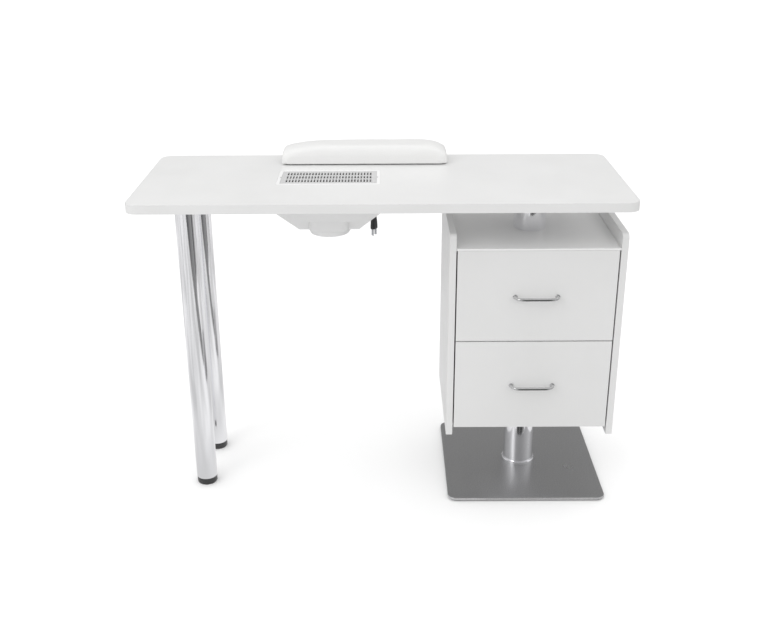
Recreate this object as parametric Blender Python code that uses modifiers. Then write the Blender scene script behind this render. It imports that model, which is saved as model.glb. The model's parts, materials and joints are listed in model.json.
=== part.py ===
"""Manicure table: laminate top on chrome legs and a column, with a drawer cabinet and a dust fan.

Metres, +Z up. The origin is on the floor under the middle of the tabletop, +X is the length
of the table (the cabinet stands at +X) and -Y is the side that the drawers open to.
"""

import math

import bmesh
import bpy
from mathutils import Matrix, Vector

# ---------------------------------------------------------------- driving dimensions
GAP = 0.0003                      # clearance that touching pieces keep
TOP_LENGTH = 1.100
TOP_DEPTH = 0.435
TOP_HEIGHT = 0.755
TOP_THICKNESS = 0.020
TOP_CORNER = 0.028
BAND_THICKNESS = 0.0012
UNDERSIDE = TOP_HEIGHT - TOP_THICKNESS
FIXING_TOP = UNDERSIDE - GAP      # upper face of what is screwed under the top

LEG_X = -0.443
LEG_Y = 0.087
LEG_RADIUS = 0.025
TUBE_WALL = 0.0015
LEG_PLATE_SIZE = 0.110
LEG_PLATE_THICKNESS = 0.0035
FOOT_HEIGHT = 0.0172

COLUMN_X = 0.345
COLUMN_RADIUS = 0.0375
COLUMN_PLATE_SIZE = 0.150
COLUMN_PLATE_THICKNESS = 0.004

BASE_SIZE = 0.380
BASE_CORNER = 0.020
BASE_HEIGHT = 0.0091
BASE_SHEET = 0.0012
GASKET_THICKNESS = 0.002
COLLAR_RADIUS = 0.0415
COLLAR_HEIGHT = 0.009

BOARD = 0.015
CABINET_LEFT = 0.148
CABINET_RIGHT = 0.543
CABINET_HALF_DEPTH = 0.160
CABINET_BOTTOM = 0.168
CABINET_TOP = 0.668
SIDE_CORNER = 0.010
DECK_TOP = 0.635
DECK_LIP = 0.0045
FLOOR_BOARD_LOW = 0.185
BACK_THICKNESS = 0.008

FRONT_THICKNESS = 0.016
FRONT_SIDE_GAP = 0.003
DRAWER_WALL = 0.012
DRAWER_SIDE_GAP = 0.013
DRAWER_BACK = 0.130
DRAWER_FLOOR = 0.005
# each drawer: lowest and highest edge of its front, lowest and highest edge of its box
DRAWERS = {
    "upper": (0.412, 0.6302, 0.425, 0.600),
    "lower": (0.188, 0.4095, 0.2065, 0.385),
}
RUNNER_FRONT = -0.135
RUNNER_BACK = 0.125
RUNNER_HALF_HEIGHT = 0.0175
RUNNER_SHEET = 0.0012
RUNNER_DEPTH = 0.008

HANDLE_SPACING = 0.096
HANDLE_REACH = 0.020
HANDLE_WIRE = 0.003
HANDLE_FOOT_RADIUS = 0.0053
HANDLE_FOOT_THICKNESS = 0.002

VENT_X = -0.1235
VENT_Y = 0.0045
GRILLE_LENGTH = 0.220
GRILLE_DEPTH = 0.107
GRILLE_THICKNESS = 0.003
GRILLE_COLUMNS = 28
GRILLE_ROWS = 3
GRILLE_PITCH = 0.0071
GRILLE_ROW_PITCH = 0.030
SLOT_WIDTH = 0.0038
SLOT_LENGTH = 0.022
TAB_LENGTH = 0.010
TAB_REACH = 0.003
RIM_WIDTH = 0.008
RIM_THICKNESS = 0.0017
RIM_RECESS = 0.002
WELL_WALL = 0.0015
LEDGE_WIDTH = 0.004
GRILLE_PLAY = 0.0003

HOPPER_X = -0.1245
HOPPER_LOW = 0.640
HOPPER_HALF_LOW = 0.0695
HOPPER_HALF_TOP = 0.172
HOPPER_FRONT_LOW = -0.031
HOPPER_FRONT_TOP = -0.085
HOPPER_REAR = 0.094
HOPPER_WALL = 0.0025
FLANGE_WIDTH = 0.012
FLANGE_THICKNESS = 0.003
PANEL_RISE = 0.0145
PANEL_LOW = 0.668
PANEL_HIGH = 0.728
PANEL_INSET_LEFT = 0.008
PANEL_INSET_RIGHT = 0.034
BOSS_HALF_WIDTH = 0.0455
BOSS_CORNER = 0.017
BOSS_FRONT = -0.060
BOSS_BACK = 0.008
BOSS_LOW = 0.6436

SPIGOT_RADIUS = 0.048
SPIGOT_WALL = 0.0025
SPIGOT_LOW = 0.6245
SPIGOT_HIGH = 0.668
GUARD_RADIUS = 0.016
GUARD_THICKNESS = 0.003
GUARD_SPOKES = 4

HUB_RADIUS = 0.016
BLADE_TIP = 0.041
BLADES = 7
IMPELLER_LOW = 0.645
IMPELLER_HIGH = 0.662
SHAFT_RADIUS = 0.003
SHAFT_PLAY = 0.00006
MOTOR_RADIUS = 0.022
MOTOR_LOW = 0.6645
MOTOR_HIGH = 0.7000
STRAP_WIDTH = 0.020
STRAP_THICKNESS = 0.002

ROCKER_X = -0.045
ROCKER_Z = 0.700
ROCKER_WIDTH = 0.009
ROCKER_HEIGHT = 0.0165
ROCKER_DEPTH = 0.006
ROCKER_REST_TILT = math.radians(-7.0)
BEZEL_RIM = 0.0025
BEZEL_THICKNESS = 0.002

CORD_RADIUS = 0.003
CORD_PITCH = 0.0063
GLAND_X = -0.235
GLAND_LENGTH = 0.022
HANK_LEFT = -0.185
HANK_RUN = 0.100
HANK_FOLD = 0.018
HANK_TURNS = 4
HANK_Y = 0.150
HANK_Z = 0.711
CLIP_WIDTH = 0.012
CLIP_WALL = 0.0015
PLUG_X = -0.0225
PLUG_Y = 0.160
PLUG_LOW = 0.580
PLUG_TURN = math.radians(56.0)
BLADE_SPACING = 0.0127

CUSHION_LEFT = -0.245
CUSHION_RIGHT = 0.158
CUSHION_FRONT = 0.112
CUSHION_BACK = 0.212
CUSHION_TOP = 0.800
CUSHION_BOARD_INSET = 0.010
CUSHION_BOARD_THICKNESS = 0.004

# colour, metallic, roughness
FINISHES = {
    "white_laminate": ((0.86, 0.86, 0.85), 0.0, 0.45),
    "white_edging": ((0.80, 0.80, 0.80), 0.0, 0.50),
    "white_plastic": ((0.82, 0.82, 0.82), 0.0, 0.35),
    "grey_plastic": ((0.66, 0.66, 0.66), 0.0, 0.45),
    "chrome": ((0.90, 0.90, 0.92), 1.0, 0.08),
    "brushed_steel": ((0.42, 0.42, 0.43), 1.0, 0.35),
    "zinc_steel": ((0.62, 0.63, 0.65), 1.0, 0.40),
    "cast_iron": ((0.07, 0.07, 0.07), 0.6, 0.70),
    "black_plastic": ((0.02, 0.02, 0.02), 0.0, 0.45),
    "black_rubber": ((0.03, 0.03, 0.03), 0.0, 0.80),
    "white_leatherette": ((0.86, 0.86, 0.86), 0.0, 0.50),
    "drawer_lining": ((0.82, 0.82, 0.80), 0.0, 0.55),
}

for old in list(bpy.data.objects):
    bpy.data.objects.remove(old, do_unlink=True)
PARTS = bpy.data.collections.new("manicure_table")
CUTTERS = bpy.data.collections.new("cutters")
bpy.context.scene.collection.children.link(PARTS)
bpy.context.scene.collection.children.link(CUTTERS)


# ---------------------------------------------------------------- helpers
def material_for(name, finish):
    """Principled material for one sub-part."""
    colour, metallic, roughness = FINISHES[finish]
    material = bpy.data.materials.new(name)
    material.use_nodes = True
    shader = material.node_tree.nodes["Principled BSDF"]
    shader.inputs["Base Color"].default_value = (*colour, 1.0)
    shader.inputs["Metallic"].default_value = metallic
    shader.inputs["Roughness"].default_value = roughness
    material.diffuse_color = (*colour, 1.0)
    return material


def place(name, mesh, finish, smooth=False):
    """Link a mesh as a named sub-part, or as a hidden cutter when finish is None."""
    part = bpy.data.objects.new(name, mesh)
    if finish is None:
        CUTTERS.objects.link(part)
        part.hide_render = True
        part.display_type = "WIRE"
        return part
    PARTS.objects.link(part)
    mesh.materials.clear()
    mesh.materials.append(material_for(name, finish))
    if smooth:
        mesh.shade_smooth()
    return part


def mesh_of(bm, name):
    """Turn a bmesh into mesh data and free it."""
    bmesh.ops.recalc_face_normals(bm, faces=bm.faces)
    mesh = bpy.data.meshes.new(name)
    bm.to_mesh(mesh)
    bm.free()
    return mesh


def round_edges(part, width, segments=2, angle=40.0):
    """Bevel the edges of a part that are sharper than an angle in degrees."""
    bevel = part.modifiers.new("rounded edges", "BEVEL")
    bevel.width = width
    bevel.segments = segments
    bevel.limit_method = "ANGLE"
    bevel.angle_limit = math.radians(angle)
    return part


def box(name, low, high, finish, bevel=0.0):
    """Box between two corners, with bevelled edges when bevel is set."""
    low, high = Vector(low), Vector(high)
    bm = bmesh.new()
    bmesh.ops.create_cube(bm, size=1.0)
    bmesh.ops.scale(bm, vec=high - low, verts=bm.verts)
    bmesh.ops.translate(bm, vec=(low + high) / 2, verts=bm.verts)
    part = place(name, mesh_of(bm, name), finish)
    return round_edges(part, bevel) if bevel else part


def cylinder(name, x, y, low, high, radius, finish, top_radius=None, sides=48):
    """Upright cylinder or cone between two heights."""
    bm = bmesh.new()
    top = radius if top_radius is None else top_radius
    bmesh.ops.create_cone(bm, cap_ends=True, segments=sides, radius1=radius, radius2=top,
                          depth=high - low)
    bmesh.ops.translate(bm, vec=(x, y, (low + high) / 2), verts=bm.verts)
    return place(name, mesh_of(bm, name), finish)


def turned(name, x, y, profile, finish, steps=48):
    """Profile of (radius, height) points turned about an upright axis with a Screw modifier."""
    bm = bmesh.new()
    ring = [bm.verts.new((radius, 0.0, height)) for radius, height in profile]
    for first, second in zip(ring, ring[1:]):
        bm.edges.new((first, second))
    if profile[0][0] > 0.0:
        bm.edges.new((ring[-1], ring[0]))
    mesh = bpy.data.meshes.new(name)
    bm.to_mesh(mesh)
    bm.free()
    part = place(name, mesh, finish)
    part.location = (x, y, 0.0)
    screw = part.modifiers.new("turned", "SCREW")
    screw.steps = steps
    screw.render_steps = steps
    screw.use_merge_vertices = True
    screw.merge_threshold = 0.00005
    screw.use_smooth_shade = False
    screw.use_normal_flip = True
    return part


def tube(name, x, y, low, high, radius, finish):
    """Round tube of the common wall thickness."""
    inner = radius - TUBE_WALL
    profile = [(inner, low), (radius, low), (radius, high), (inner, high)]
    return turned(name, x, y, profile, finish, steps=56)


def rounded_rectangle(width, depth, radius, steps=6):
    """Outline of a rectangle with round corners, counterclockwise about the origin."""
    points = []
    for quarter in range(4):
        start = quarter * math.pi / 2
        side_x = width / 2 - radius if quarter in (0, 3) else radius - width / 2
        side_y = depth / 2 - radius if quarter in (0, 1) else radius - depth / 2
        for step in range(steps + 1):
            angle = start + step * math.pi / 2 / steps
            points.append((side_x + radius * math.cos(angle), side_y + radius * math.sin(angle)))
    return points


def sheet(name, outlines, thickness, centre, finish, turn=None, bevel=0.0):
    """Flat outline, with any further outlines as its holes, made from a filled 2D curve."""
    curve = bpy.data.curves.new(name, "CURVE")
    curve.dimensions = "2D"
    curve.fill_mode = "BOTH"
    curve.extrude = thickness / 2
    for outline in outlines:
        spline = curve.splines.new("POLY")
        spline.points.add(len(outline) - 1)
        for point, (x, y) in zip(spline.points, outline):
            point.co = (x, y, 0.0, 1.0)
        spline.use_cyclic_u = True
    shape = bpy.data.objects.new(name + " outline", curve)
    bm = bmesh.new()
    bm.from_mesh(shape.to_mesh())
    shape.to_mesh_clear()
    bpy.data.objects.remove(shape, do_unlink=True)
    bmesh.ops.remove_doubles(bm, verts=bm.verts, dist=0.00001)
    matrix = Matrix.Translation(centre)
    if turn is not None:
        matrix = matrix @ turn
    bmesh.ops.transform(bm, matrix=matrix, verts=bm.verts)
    part = place(name, mesh_of(bm, name), finish)
    return round_edges(part, bevel, 1) if bevel else part


def wire(name, points, radius, finish, resolution=2):
    """Tube of a round section along points, with filled ends."""
    curve = bpy.data.curves.new(name, "CURVE")
    curve.dimensions = "3D"
    curve.bevel_depth = radius
    curve.bevel_resolution = resolution
    curve.use_fill_caps = True
    spline = curve.splines.new("POLY")
    spline.points.add(len(points) - 1)
    for point, place_at in zip(spline.points, points):
        point.co = (*place_at, 1.0)
    shape = bpy.data.objects.new(name + " path", curve)
    bm = bmesh.new()
    bm.from_mesh(shape.to_mesh())
    shape.to_mesh_clear()
    bpy.data.objects.remove(shape, do_unlink=True)
    bmesh.ops.remove_doubles(bm, verts=bm.verts, dist=0.00001)
    return place(name, mesh_of(bm, name), finish, smooth=True)


def smooth_path(route, per_span=2):
    """Catmull-Rom curve through the points of a route."""
    points = [Vector(point) for point in route]
    padded = [2 * points[0] - points[1], *points, 2 * points[-1] - points[-2]]
    path = []
    for before, start, end, after in zip(padded, padded[1:], padded[2:], padded[3:]):
        for step in range(per_span):
            t = step / per_span
            path.append(0.5 * (2 * start + (end - before) * t
                               + (2 * before - 5 * start + 4 * end - after) * t ** 2
                               + (3 * start - before - 3 * end + after) * t ** 3))
    path.append(points[-1])
    return path


def join(part, tool, operation):
    """Boolean a tool into a part."""
    step = part.modifiers.new(operation.lower() + " " + tool.name, "BOOLEAN")
    step.operation = operation
    step.solver = "EXACT"
    step.object = tool
    return part


XZ_PLANE = Matrix.Rotation(math.pi / 2, 4, "X")           # outline (x, y) becomes (X, Z)
YZ_PLANE = Matrix(((0, 0, 1, 0), (1, 0, 0, 0), (0, 1, 0, 0), (0, 0, 0, 1)))   # (x, y) to (Y, Z)


# ---------------------------------------------------------------- tabletop and vent
def build_top():
    """Board with its vent cutout, and the edge band round it."""
    board_length = TOP_LENGTH - 2 * (BAND_THICKNESS + GAP)
    board_depth = TOP_DEPTH - 2 * (BAND_THICKNESS + GAP)
    board_corner = TOP_CORNER - BAND_THICKNESS - GAP
    middle = TOP_HEIGHT - TOP_THICKNESS / 2
    board_outline = rounded_rectangle(board_length, board_depth, board_corner, 8)
    top = sheet("tabletop", [board_outline], TOP_THICKNESS, (0, 0, middle), "white_laminate")
    well_length, well_depth = well_outside()
    centre = (VENT_X, VENT_Y, middle)
    cutout = rounded_rectangle(well_length + 2 * GAP, well_depth + 2 * GAP, 0.004)
    join(top, sheet("cutter_vent_hole", [cutout], 2 * TOP_THICKNESS, centre, None), "DIFFERENCE")
    rim_length, rim_depth = rim_outside()
    recess = rounded_rectangle(rim_length + 2 * GAP, rim_depth + 2 * GAP, 0.006)
    height = TOP_HEIGHT - RIM_RECESS
    step = sheet("cutter_rim_recess", [recess], 0.02, (VENT_X, VENT_Y, height + 0.01), None)
    join(top, step, "DIFFERENCE")
    outer = rounded_rectangle(TOP_LENGTH, TOP_DEPTH, TOP_CORNER, 8)
    inner_corner = TOP_CORNER - BAND_THICKNESS
    inner = rounded_rectangle(TOP_LENGTH - 2 * BAND_THICKNESS, TOP_DEPTH - 2 * BAND_THICKNESS,
                              inner_corner, 8)
    sheet("edge_band", [outer, inner], TOP_THICKNESS, (0, 0, middle), "white_edging")


def well_outside():
    """Outer size of the vent frame's well, which hangs in the board's cutout."""
    wall = 2 * (GRILLE_PLAY + WELL_WALL)
    return GRILLE_LENGTH + wall, GRILLE_DEPTH + wall


def rim_outside():
    """Outer size of the vent frame's rim, let into the board's face."""
    return GRILLE_LENGTH + 2 * RIM_WIDTH, GRILLE_DEPTH + 2 * RIM_WIDTH


def build_vent():
    """Vent frame, and the grille that lifts out of it."""
    well_length, well_depth = well_outside()
    rim_length, rim_depth = rim_outside()
    well_low = FIXING_TOP - 0.0002
    height = TOP_HEIGHT - well_low
    middle = (TOP_HEIGHT + well_low) / 2
    ledge_length = GRILLE_LENGTH - 2 * LEDGE_WIDTH
    ledge_depth = GRILLE_DEPTH - 2 * LEDGE_WIDTH
    outlines = [rounded_rectangle(well_length, well_depth, 0.004),
                rounded_rectangle(ledge_length, ledge_depth, 0.002)]
    frame = sheet("vent_frame", outlines, height, (VENT_X, VENT_Y, middle), "white_plastic")
    rim = sheet("cutter_rim", [rounded_rectangle(rim_length, rim_depth, 0.006),
                               rounded_rectangle(ledge_length, ledge_depth, 0.002)],
                RIM_THICKNESS, (VENT_X, VENT_Y, TOP_HEIGHT - RIM_THICKNESS / 2), None)
    join(frame, rim, "UNION")
    seat_depth = GRILLE_THICKNESS + GAP
    seat = rounded_rectangle(GRILLE_LENGTH + 2 * GRILLE_PLAY, GRILLE_DEPTH + 2 * GRILLE_PLAY,
                             0.0003, 1)
    pocket = sheet("cutter_seat", [seat], 0.02, (VENT_X, VENT_Y, TOP_HEIGHT - seat_depth + 0.01),
                   None)
    join(frame, pocket, "DIFFERENCE")
    notch_reach = GRILLE_LENGTH / 2 + TAB_REACH + GRILLE_PLAY
    notch_half = TAB_LENGTH / 2 + GRILLE_PLAY
    notch = box("cutter_tab_notch",
                (VENT_X - notch_reach, VENT_Y - notch_half, TOP_HEIGHT - RIM_THICKNESS / 2),
                (VENT_X + notch_reach, VENT_Y + notch_half, TOP_HEIGHT + 0.01), None)
    join(frame, notch, "DIFFERENCE")
    build_grille()


def build_grille():
    """Slotted grille: a flat grid with its slot cells left out, thickened with Solidify."""
    first_x = -GRILLE_PITCH * (GRILLE_COLUMNS - 1) / 2
    first_y = -GRILLE_ROW_PITCH * (GRILLE_ROWS - 1) / 2
    cuts_x = [-GRILLE_LENGTH / 2, GRILLE_LENGTH / 2]
    for column in range(GRILLE_COLUMNS):
        middle = first_x + column * GRILLE_PITCH
        cuts_x += [middle - SLOT_WIDTH / 2, middle + SLOT_WIDTH / 2]
    cuts_y = [-GRILLE_DEPTH / 2, GRILLE_DEPTH / 2]
    for row in range(GRILLE_ROWS):
        middle = first_y + row * GRILLE_ROW_PITCH
        cuts_y += [middle - SLOT_LENGTH / 2, middle + SLOT_LENGTH / 2]
    cuts_x.sort()
    cuts_y.sort()
    bm = bmesh.new()
    bmesh.ops.create_grid(bm, x_segments=len(cuts_x) - 1, y_segments=len(cuts_y) - 1, size=1.0)
    columns = sorted({round(vert.co.x, 5) for vert in bm.verts})
    rows = sorted({round(vert.co.y, 5) for vert in bm.verts})
    for vert in bm.verts:
        vert.co.x, vert.co.y = (cuts_x[columns.index(round(vert.co.x, 5))],
                                cuts_y[rows.index(round(vert.co.y, 5))])
    slots = []
    for face in bm.faces:
        middle = face.calc_center_median()
        column = round((middle.x - first_x) / GRILLE_PITCH)
        row = round((middle.y - first_y) / GRILLE_ROW_PITCH)
        in_column = abs(middle.x - first_x - column * GRILLE_PITCH) < SLOT_WIDTH / 4
        in_row = abs(middle.y - first_y - row * GRILLE_ROW_PITCH) < SLOT_LENGTH / 4
        if in_column and in_row and 0 <= column < GRILLE_COLUMNS and 0 <= row < GRILLE_ROWS:
            slots.append(face)
    bmesh.ops.delete(bm, geom=slots, context="FACES")
    bmesh.ops.translate(bm, vec=(VENT_X, VENT_Y, TOP_HEIGHT), verts=bm.verts)
    grille = place("vent_grille", mesh_of(bm, "vent_grille"), "grey_plastic")
    thick = grille.modifiers.new("thickness", "SOLIDIFY")
    thick.thickness = GRILLE_THICKNESS
    thick.offset = -1.0
    for side, sign in (("left", -1), ("right", 1)):
        root = VENT_X + sign * (GRILLE_LENGTH / 2 - 0.002)
        tip = VENT_X + sign * (GRILLE_LENGTH / 2 + TAB_REACH)
        tab = box("cutter_tab_" + side,
                  (min(root, tip), VENT_Y - TAB_LENGTH / 2, TOP_HEIGHT - RIM_THICKNESS / 2 + GAP),
                  (max(root, tip), VENT_Y + TAB_LENGTH / 2, TOP_HEIGHT - GAP / 2), None)
        join(grille, tab, "UNION")


# ---------------------------------------------------------------- dust fan
def hopper_slope_side():
    """Run of the hopper's end walls for each metre of height."""
    return (HOPPER_HALF_TOP - HOPPER_HALF_LOW) / (FIXING_TOP - HOPPER_LOW)


def hopper_slope_front():
    """Run of the hopper's front wall for each metre of height, negative towards -Y."""
    return (HOPPER_FRONT_TOP - HOPPER_FRONT_LOW) / (FIXING_TOP - HOPPER_LOW)


def hopper_section(height, inset):
    """Low and high corner of the hopper's plan at a height, drawn in by an inset."""
    rise = height - HOPPER_LOW
    half = HOPPER_HALF_LOW + rise * hopper_slope_side() - inset
    front = HOPPER_FRONT_LOW + rise * hopper_slope_front() + inset
    return (HOPPER_X - half, front), (HOPPER_X + half, HOPPER_REAR - inset)


def hopper_block(name, low, high, inset, finish):
    """Tapered block that follows the hopper's walls between two heights."""
    bm = bmesh.new()
    bmesh.ops.create_cube(bm, size=1.0)
    for vert in bm.verts:
        height = high if vert.co.z > 0 else low
        near, far = hopper_section(height, inset)
        vert.co = (far[0] if vert.co.x > 0 else near[0], far[1] if vert.co.y > 0 else near[1],
                   height)
    return place(name, mesh_of(bm, name), finish)


def build_housing():
    """Hopper shell with a flange, a raised front panel and the outlet opening."""
    housing = hopper_block("fan_housing", HOPPER_LOW, FIXING_TOP, 0.0, "white_plastic")
    near, far = hopper_section(FIXING_TOP, -FLANGE_WIDTH)
    flange = box("cutter_flange", (near[0], near[1], FIXING_TOP - FLANGE_THICKNESS),
                 (far[0], far[1], FIXING_TOP), None)
    join(housing, flange, "UNION")
    join(housing, front_panel_tool("cutter_front_panel", 0.0), "UNION")
    join(housing, outlet_boss_tool("cutter_outlet_boss", 0.0), "UNION")
    inside = hopper_block("cutter_hopper_inside", HOPPER_LOW + HOPPER_WALL, FIXING_TOP + 0.02,
                          HOPPER_WALL, None)
    join(housing, inside, "DIFFERENCE")
    join(housing, front_panel_tool("cutter_panel_inside", HOPPER_WALL), "DIFFERENCE")
    join(housing, outlet_boss_tool("cutter_boss_inside", HOPPER_WALL), "DIFFERENCE")
    outlet = cylinder("cutter_outlet", HOPPER_X, VENT_Y, HOPPER_LOW - 0.02, SPIGOT_HIGH + GAP,
                      SPIGOT_RADIUS + GAP, None, sides=64)
    join(housing, outlet, "DIFFERENCE")
    opening = box("cutter_switch_hole",
                  (ROCKER_X - ROCKER_WIDTH / 2 - 0.0012, HOPPER_REAR - 0.01,
                   ROCKER_Z - ROCKER_HEIGHT / 2 - 0.0017),
                  (ROCKER_X + ROCKER_WIDTH / 2 + 0.0012, HOPPER_REAR + 0.01,
                   ROCKER_Z + ROCKER_HEIGHT / 2 + 0.0017), None)
    join(housing, opening, "DIFFERENCE")


def front_panel_tool(name, inset):
    """Raised trapezoid on the hopper's slanted front wall, or its hollow when inset."""
    bm = bmesh.new()
    bmesh.ops.create_cube(bm, size=1.0)
    for vert in bm.verts:
        height = PANEL_HIGH - inset if vert.co.z > 0 else PANEL_LOW + inset
        near, far = hopper_section(height, 0.0)
        right = far[0] - PANEL_INSET_RIGHT - inset
        left = near[0] + PANEL_INSET_LEFT + inset
        front = near[1] - PANEL_RISE + inset
        rear = near[1] + HOPPER_WALL / 2 + 2 * inset
        vert.co = (right if vert.co.x > 0 else left, front if vert.co.y < 0 else rear, height)
    return place(name, mesh_of(bm, name), None)


def outlet_boss_tool(name, inset):
    """Block with round corners that stands round the outlet in front, or its hollow when inset."""
    low = BOSS_LOW + inset
    high = PANEL_LOW + 0.004 - 2.6 * inset
    front = BOSS_FRONT + inset
    outline = rounded_rectangle(2 * (BOSS_HALF_WIDTH - inset), BOSS_BACK - front,
                                BOSS_CORNER - inset)
    return sheet(name, [outline], high - low,
                 (HOPPER_X, (front + BOSS_BACK) / 2, (low + high) / 2), None)


def build_outlet():
    """Outlet spigot with a rounded lower lip, and its guard of spokes round a disc."""
    inner = SPIGOT_RADIUS - SPIGOT_WALL
    profile = [(inner, SPIGOT_LOW), (SPIGOT_RADIUS - 0.004, SPIGOT_LOW),
               (SPIGOT_RADIUS - 0.0014, SPIGOT_LOW + 0.0012),
               (SPIGOT_RADIUS, SPIGOT_LOW + 0.004), (SPIGOT_RADIUS, SPIGOT_HIGH),
               (inner, SPIGOT_HIGH)]
    spigot = turned("outlet_spigot", HOPPER_X, VENT_Y, profile, "white_plastic", steps=64)
    guard_low = SPIGOT_LOW + 0.006
    disc = cylinder("cutter_guard_disc", HOPPER_X, VENT_Y, guard_low, guard_low + GUARD_THICKNESS,
                    GUARD_RADIUS, None)
    for number in range(GUARD_SPOKES // 2):
        reach = inner + SPIGOT_WALL / 2
        set_in = 0.0003 * (number + 1)
        spoke = box("cutter_guard_spoke_%d" % number, (-reach, -0.0015, set_in),
                    (reach, 0.0015, GUARD_THICKNESS - set_in), None)
        spoke.location = (HOPPER_X, VENT_Y, guard_low)
        spoke.rotation_euler.z = math.pi * (0.25 + number * 0.5)
        join(disc, spoke, "UNION")
    join(spigot, disc, "UNION")


def build_fan():
    """Impeller on its shaft, the motor that holds the shaft and the strap that holds the motor."""
    shaft = cylinder("fan_impeller", HOPPER_X, VENT_Y, IMPELLER_LOW, IMPELLER_HIGH + 0.020,
                     SHAFT_RADIUS, "black_plastic", sides=32)
    hub = cylinder("cutter_hub", HOPPER_X, VENT_Y, IMPELLER_LOW - 0.0002, IMPELLER_HIGH,
                   HUB_RADIUS, None, top_radius=HUB_RADIUS - 0.001, sides=42)
    join(shaft, hub, "UNION")
    middle = (IMPELLER_LOW + IMPELLER_HIGH) / 2
    for number in range(BLADES):
        blade = box("cutter_blade_%d" % number, (HUB_RADIUS - 0.004, -0.0105, -0.0008),
                    (BLADE_TIP, 0.0105, 0.0008), None)
        turn = Matrix.Rotation(2 * math.pi * number / BLADES, 4, "Z")
        pitch = Matrix.Rotation(math.radians(36.0), 4, "X")
        blade.matrix_world = Matrix.Translation((HOPPER_X, VENT_Y, middle)) @ turn @ pitch
        join(shaft, blade, "UNION")
    turned("fan_motor", HOPPER_X, VENT_Y,
           [(SHAFT_RADIUS + SHAFT_PLAY, MOTOR_LOW), (0.008, MOTOR_LOW),
            (0.008, MOTOR_LOW + 0.003), (MOTOR_RADIUS - 0.002, MOTOR_LOW + 0.003),
            (MOTOR_RADIUS, MOTOR_LOW + 0.005), (MOTOR_RADIUS, MOTOR_HIGH - 0.002),
            (MOTOR_RADIUS - 0.002, MOTOR_HIGH), (SHAFT_RADIUS + SHAFT_PLAY, MOTOR_HIGH)],
           "zinc_steel")
    strap_low = MOTOR_HIGH + GAP
    half_low = hopper_section(strap_low, HOPPER_WALL + GAP)[1][0] - HOPPER_X - 0.004
    end_height = FIXING_TOP - 0.004
    half_high = half_low + (end_height - strap_low) * hopper_slope_side()
    lift = STRAP_THICKNESS * math.hypot(1.0, 1.0 / hopper_slope_side()) / 2
    outline = [(-half_low, strap_low), (half_low, strap_low), (half_high, end_height),
               (half_high - 2 * lift, end_height),
               (half_low - lift, strap_low + STRAP_THICKNESS),
               (lift - half_low, strap_low + STRAP_THICKNESS),
               (2 * lift - half_high, end_height), (-half_high, end_height)]
    sheet("motor_strap", [outline], STRAP_WIDTH, (HOPPER_X, VENT_Y, 0), "zinc_steel", turn=XZ_PLANE)


def build_switch():
    """Rocker switch in the hopper's rear wall; the rocker turns about its own X axis."""
    half_width = ROCKER_WIDTH / 2
    half_height = ROCKER_HEIGHT / 2
    hole = (half_width + 0.0004, half_height + 0.0008)
    frame_rim = rounded_rectangle(2 * (hole[0] + BEZEL_RIM), 2 * (hole[1] + BEZEL_RIM), 0.001)
    frame_hole = rounded_rectangle(2 * hole[0], 2 * hole[1], 0.0003, 1)
    middle = HOPPER_REAR + GAP + BEZEL_THICKNESS / 2
    sheet("switch_bezel", [frame_rim, frame_hole], BEZEL_THICKNESS, (ROCKER_X, middle, ROCKER_Z),
          "black_plastic", turn=XZ_PLANE)
    pivot_y = HOPPER_REAR - 0.001
    outline = [(-ROCKER_DEPTH / 2, -half_height + 0.001), (0.0035, -half_height),
               (0.0027, 0.0), (0.0035, half_height), (-ROCKER_DEPTH / 2, half_height - 0.001)]
    rocker = sheet("switch_rocker", [outline], ROCKER_WIDTH, (0, 0, 0), "black_plastic",
                   turn=YZ_PLANE)
    rocker.location = (ROCKER_X, pivot_y, ROCKER_Z)
    rocker.rotation_euler.x = ROCKER_REST_TILT


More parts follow.
